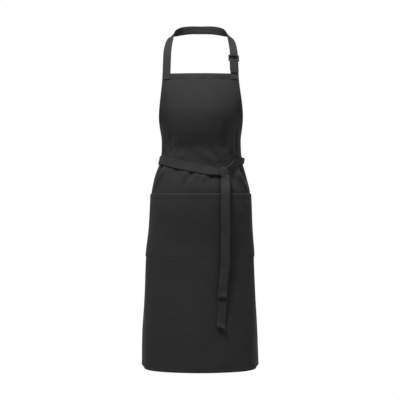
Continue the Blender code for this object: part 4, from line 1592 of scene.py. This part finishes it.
class APRON_OT_slider(Operator):
    """Mould the three-bar slider"""

    bl_idname = "apron.slider"
    bl_label = "Slider"

    def execute(self, context):
        side, top = SLIDER_WIDTH / 2, SLIDER_FROM + SLIDER_HEIGHT
        plate = self.block("plate", -side, side, SLIDER_FROM, top, 1)
        lower, middle, upper = slider_levels()
        opening = STRAP_WIDTH / 2 + SLOT_EASE
        for start, end in ((lower, middle), (middle, upper)):
            cutter = self.block("slot", -opening, opening, start + SLIDER_BAR, end, 2)
            cut = plate.modifiers.new("slot", "BOOLEAN")
            cut.operation = "DIFFERENCE"
            cut.object = cutter
        bpy.context.view_layer.update()
        cut_plate = plate.evaluated_get(context.evaluated_depsgraph_get())
        shape = bmesh.new()
        shape.from_mesh(cut_plate.to_mesh())
        for old in [o for o in context.scene.objects if o.name.startswith(("plate", "slot"))]:
            bpy.data.objects.remove(old, do_unlink=True)
        bmesh.ops.dissolve_limit(shape, angle_limit=SLIDER_FLAT, verts=shape.verts, edges=shape.edges)
        sharp = [e for e in shape.edges if e.is_manifold and e.calc_face_angle() > SLIDER_SHARP]
        bmesh.ops.bevel(shape, geom=sharp, offset=SLIDER_EDGE, segments=3, profile=0.5, affect="EDGES")
        bmesh.ops.triangulate(shape, faces=[f for f in shape.faces if len(f.verts) > 4])
        bmesh.ops.recalc_face_normals(shape, faces=shape.faces)
        shape.verts.index_update()
        local = np.array([v.co for v in shape.verts])
        faces = [[v.index for v in f.verts] for f in shape.faces]
        shape.free()
        corner = Corner(1)
        crown = np.clip(1 - (local[:, 0] / (SLIDER_WIDTH / 2)) ** 2, 0, 1)
        local[:, 2] *= 1 + SLIDER_CROWN * crown
        points = corner.at + local[:, :2] @ corner.axes[:2] + (local[:, 2:] + slider_plane()) * corner.axes[2]
        proud = np.abs(local[:, 2]) / (SLIDER_DEPTH / 2)
        worn = np.clip((proud - SLIDER_WORN_FROM) / (1 - SLIDER_WORN_FROM), 0, 1) * bell(crown, 0.5)
        slider = add_piece("strap_slider_plastic", points, faces, slider_plastic(), local[:, :2], worn)
        slider.data.set_sharp_from_angle(angle=SLIDER_SHADED_SHARP)
        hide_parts("strap_slider")
        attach(slider, "neck_loop")
        return {"FINISHED"}

    def block(self, name, left, right, low, high, depths):
        """A rounded block across the slider's plate, this many depths thick."""
        shape = bmesh.new()
        bmesh.ops.create_cube(shape, size=1)
        middle = Vector(((left + right) / 2, (low + high) / 2, 0))
        size = Vector((right - left, high - low, depths * SLIDER_DEPTH))
        for vert in shape.verts:
            vert.co = Vector(a * b for a, b in zip(vert.co, size)) + middle
        upright = [e for e in shape.edges if abs(e.verts[0].co.z - e.verts[1].co.z) > SLIDER_DEPTH / 2]
        round_off = SLIDER_CORNER if depths == 1 else SLIDER_CORNER / 3
        bmesh.ops.bevel(shape, geom=upright, offset=round_off, segments=6, profile=0.5, affect="EDGES")
        mesh = bpy.data.meshes.new(name)
        shape.to_mesh(mesh)
        shape.free()
        made = bpy.data.objects.new(name, mesh)
        bpy.context.scene.collection.objects.link(made)
        return made


class APRON_OT_strap_tail(Operator):
    """Hang the neck strap's free end below the slider, with its folded end"""

    bl_idname = "apron.strap_tail"
    bl_label = "Strap end"

    def execute(self, context):
        corner = Corner(1)
        start = SLIDER_FROM - TAIL_FROM
        off = slider_plane() + over_tab()
        slope = TAIL_LEAN / (start - TAIL_END)
        levels = np.linspace(start, TAIL_END, TAIL_POINTS)
        way = [(up, off + slope * (start - up)) for up in levels]
        behind = (STRAP_CLOTH + HEM_CLOTH) / 2 + GAP
        low, out = way[-1]
        for turn in np.radians(FOLD_TURNS):
            way.append((low - behind / 2 * math.sin(turn), out - behind / 2 * (1 - math.cos(turn))))
        way += [(low + up, out - behind) for up in np.linspace(0, STRAP_END_HEM, FOLD_BACK_POINTS)]
        places = corner.places(way)
        tail, sewn = ribbon(
            "strap_tail_cloth", places, corner.outer(len(places)), STRAP_WIDTH, STRAP_CLOTH, tape_twill()
        )
        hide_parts("strap_tail", "strap_end_hem")
        seam = Seam()
        for points, outward in sewn[:2]:
            seam.sew(points[: len(levels) + 2], outward[: len(levels) + 2])
        row = low + stitch_inset(STRAP_END_HEM)
        sew_across(seam, corner, row, off + slope * (start - row) + STRAP_CLOTH / 2)
        for piece in (tail, seam.finish("strap_tail_stitching")):
            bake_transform(piece)
        return {"FINISHED"}


class APRON_OT_waist_ties(Operator):
    """Wrap the two waist ties round the waist to the knot"""

    bl_idname = "apron.waist_ties"
    bl_label = "Waist ties"

    def execute(self, context):
        ties = (
            ("waist_tie_left", LEFT_TIE_WAY, 1, 0.0),
            ("waist_tie_right", RIGHT_TIE_WAY, -1, TIE_CROSSING),
        )
        for node, way, side, crossing in ties:
            middles, outward = tie_surface(way, side, crossing)
            at = way_lengths(middles[:, middles.shape[1] // 2])
            tie, sewn = ribbon_piece(node + "_cloth", middles, outward, at, TIE_CLOTH, tape_twill())
            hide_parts(node)
            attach(tie, "apron")
            seam = Seam()
            for row in sewn[:2]:
                seam.sew(*row)
            inner = slice(TIE_SEWN_INSET, -TIE_SEWN_INSET)
            for i in TIE_SEWN_ROWS:
                top = middles[i] + outward[i] * TIE_CLOTH / 2
                seam.sew(top[inner], outward[i][inner])
            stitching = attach(seam.finish(node + "_stitching"), "apron")
        return {"FINISHED"}


class APRON_OT_knot(Operator):
    """Tie the knot: one tie wrapped down over the bunched core"""

    bl_idname = "apron.knot"
    bl_label = "Knot"

    def execute(self, context):
        middle = knot_middle()
        out = np.array((math.sin(KNOT_YAW), -math.cos(KNOT_YAW), 0))
        right = np.array((math.cos(KNOT_YAW), math.sin(KNOT_YAW), 0))
        tail_right = np.array((math.cos(TAIL_YAW), math.sin(TAIL_YAW), 0))
        points = [middle + out * ahead + (0, 0, up) for ahead, up in KNOT_PROFILE]
        turns = [right] * len(points)
        tail = tail_way(FRONT_TAIL_END, FRONT_TAIL_DRIFT, 1)
        for row, rise in KNOT_FEATHER:
            points.append(tail[row] - (0, rise, 0))
            turns.append(tail_right)
        way = smooth_way(points, KNOT_STEPS)
        turns = smooth_way(turns, KNOT_STEPS)

        def creases(shares, at):
            strong = smooth_step(KNOT_CREASE_FROM, 2 * KNOT_CREASE_FROM, at)
            crease = np.cos(KNOT_CREASES * math.pi * shares + KNOT_CREASE_SHIFT)
            return strong * (KNOT_CROWN * shares**2 - KNOT_CREASE * crease)

        width = KNOT_NARROWING * TIE_WIDTH
        band, _ = ribbon("knot_band", way[::-1], turns[::-1], width, TIE_CLOTH, tape_twill(), creases)
        core_points, core_faces = rounded_block(CORE_SIZE, CORE_ROWS, CORE_COLUMNS)
        axes = np.array((right, -out, (0, 0, 1)))
        core_uv = core_points[:, (0, 2)]
        core = add_piece("knot_core", middle + core_points @ axes, core_faces, tape_twill(), core_uv)
        square_up(core)
        with context.temp_override(active_object=band, selected_editable_objects=[band, core]):
            bpy.ops.object.join()
        band.name = "waist_knot_cloth"
        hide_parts("waist_knot")
        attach(band, "apron")
        return {"FINISHED"}


class APRON_OT_tie_tails(Operator):
    """Hang the two tie ends from the knot"""

    bl_idname = "apron.tie_tails"
    bl_label = "Tie ends"

    def execute(self, context):
        tails = (
            ("back", BACK_TAIL_END, BACK_TAIL_DRIFT, 0, ("apron", "tie_end_back"), BACK_TAIL_SLANT),
            ("front", FRONT_TAIL_END, FRONT_TAIL_DRIFT, 1, ("tie_end_back", "tie_end_front"), 0.0),
        )
        for name, end, drift, layer, bodies, slant in tails:
            self.tail(name, end, drift, layer, bodies, slant)
        return {"FINISHED"}

    def tail(self, name, end, drift, layer, bodies, slant):
        way = tail_way(end, drift, layer)
        yaw = np.array((math.cos(TAIL_YAW), math.sin(TAIL_YAW), 0))
        low = smooth_step(end + TAIL_SLANT_REACH, end, way[:, 2])[:, None]
        outer = unit(yaw - low * (0, 0, 2 * slant / TIE_WIDTH))

        def ripple(shares, at):
            top, bottom = TAIL_RIPPLE_ENDS
            begin = smooth_step(0, top, at) * smooth_step(at[-1], at[-1] - bottom, at)
            wave = np.sin(math.tau * at / TAIL_RIPPLE_LENGTH + layer)
            twist = TAIL_TWIST * shares * np.cos(math.tau * at / TAIL_RIPPLE_LENGTH)
            return -begin * (TAIL_BOW * layer + TAIL_RIPPLE * (wave + twist))

        tail, sewn = ribbon(
            f"tie_tail_{name}_cloth", way, -outer, TIE_WIDTH, TIE_CLOTH, tape_twill(), ripple
        )
        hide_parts(f"tie_tail_{name}", f"tie_end_hem_{name}")
        seam = Seam()
        for points, outward in sewn:
            upper = points[:, 2] > end + TAIL_SEWN_TO
            front = np.argmin(upper) if not upper.all() else len(points)
            seam.sew(points[:front], outward[:front])
        pieces = (tail, seam.finish(f"tie_tail_{name}_stitching"))
        for piece in pieces:
            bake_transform(piece)


class APRON_OT_stage(Operator):
    """Set the camera, the lights, the white surround and the floor"""

    bl_idname = "apron.stage"
    bl_label = "Studio"

    def execute(self, context):
        look = context.scene.apron_stage
        context.scene.view_settings.view_transform = "Standard"
        lens = bpy.data.cameras.new("photo camera")
        lens.lens = CAMERA_LENS
        lens.sensor_width = CAMERA_SENSOR
        camera = bpy.data.objects.new("photo camera", lens)
        camera.location = CAMERA_AT
        camera.rotation_euler = (math.radians(90), 0, 0)
        context.scene.collection.objects.link(camera)
        context.scene.camera = camera
        self.lamp("key light", *KEY_LIGHT, look.key_power)
        self.lamp("fill light", *FILL_LIGHT, look.fill_power)
        self.lamp("back light", *BACK_LIGHT, look.back_power)
        self.surround(context, look.surround)
        shape = bmesh.new()
        bmesh.ops.create_circle(shape, cap_ends=True, segments=FLOOR_SEGMENTS, radius=FLOOR_RADIUS)
        mesh = bpy.data.meshes.new("studio_floor")
        shape.to_mesh(mesh)
        shape.free()
        mesh.materials.append(floor_paint())
        floor = bpy.data.objects.new("studio_floor", mesh)
        floor.location = (0, 0, FLOOR_HEIGHT)
        context.scene.collection.objects.link(floor)
        return {"FINISHED"}

    def lamp(self, name, at, aim, size, power):
        data = bpy.data.lights.new(name, "AREA")
        data.shape = "DISK"
        data.size = size
        data.energy = power
        lamp = bpy.data.objects.new(name, data)
        lamp.location = at
        lamp.rotation_euler = (Vector(aim) - Vector(at)).to_track_quat("-Z", "Y").to_euler()
        bpy.context.scene.collection.objects.link(lamp)

    def surround(self, context, level):
        """White where it is seen or mirrored, dimmer as light on the object."""
        world = context.scene.world or bpy.data.worlds.new("studio")
        context.scene.world = world
        world.use_nodes = True
        world.node_tree.nodes.clear()
        wire = Wiring(world.node_tree)
        rays = wire.add("ShaderNodeLightPath").outputs
        seen = wire.math("MAXIMUM", rays["Is Camera Ray"], rays["Is Glossy Ray"])
        seen = wire.math("MAXIMUM", seen, rays["Is Transmission Ray"])
        white = wire.add("ShaderNodeBackground")
        white.inputs["Color"].default_value = (1, 1, 1, 1)
        wire.feed(white.inputs["Strength"], wire.blend(seen, level, 1.0, "FLOAT"))
        output = wire.add("ShaderNodeOutputWorld")
        wire.feed(output.inputs["Surface"], white.outputs[0])


STEPS = (
    APRON_OT_stage,
    APRON_OT_front_panel,
    APRON_OT_panel_hems,
    APRON_OT_pocket,
    APRON_OT_slider,
    APRON_OT_neck_strap,
    APRON_OT_strap_tail,
    APRON_OT_waist_ties,
    APRON_OT_knot,
    APRON_OT_tie_tails,
)
SETTINGS = (("apron_cloth", ClothSettings), ("apron_slider", SliderSettings), ("apron_stage", StageSettings))


class APRON_PT_sidebar(Panel):
    """The apron's settings and the steps that build it"""

    bl_idname = "APRON_PT_sidebar"
    bl_label = "Bib apron"
    bl_space_type = "VIEW_3D"
    bl_region_type = "UI"
    bl_category = "Apron"

    def draw(self, context):
        for name, kind in SETTINGS:
            group = self.layout.box()
            for prop in kind.__annotations__:
                group.prop(getattr(context.scene, name), prop)
        for step in STEPS:
            self.layout.operator(step.bl_idname)


def register():
    for kind in (*(kind for _, kind in SETTINGS), *STEPS, APRON_PT_sidebar):
        bpy.utils.register_class(kind)
    for name, kind in SETTINGS:
        setattr(bpy.types.Scene, name, PointerProperty(type=kind))


def unregister():
    for name, _ in SETTINGS:
        delattr(bpy.types.Scene, name)
    for kind in (APRON_PT_sidebar, *reversed(STEPS), *(kind for _, kind in SETTINGS)):
        bpy.utils.unregister_class(kind)


def main():
    register()
    bpy.ops.apron.stage()
    bpy.ops.apron.front_panel()
    bpy.ops.apron.panel_hems()
    bpy.ops.apron.pocket()
    bpy.ops.apron.slider()
    bpy.ops.apron.neck_strap()
    bpy.ops.apron.strap_tail()
    bpy.ops.apron.waist_ties()
    bpy.ops.apron.knot()
    bpy.ops.apron.tie_tails()


if __name__ == "__main__":
    main()
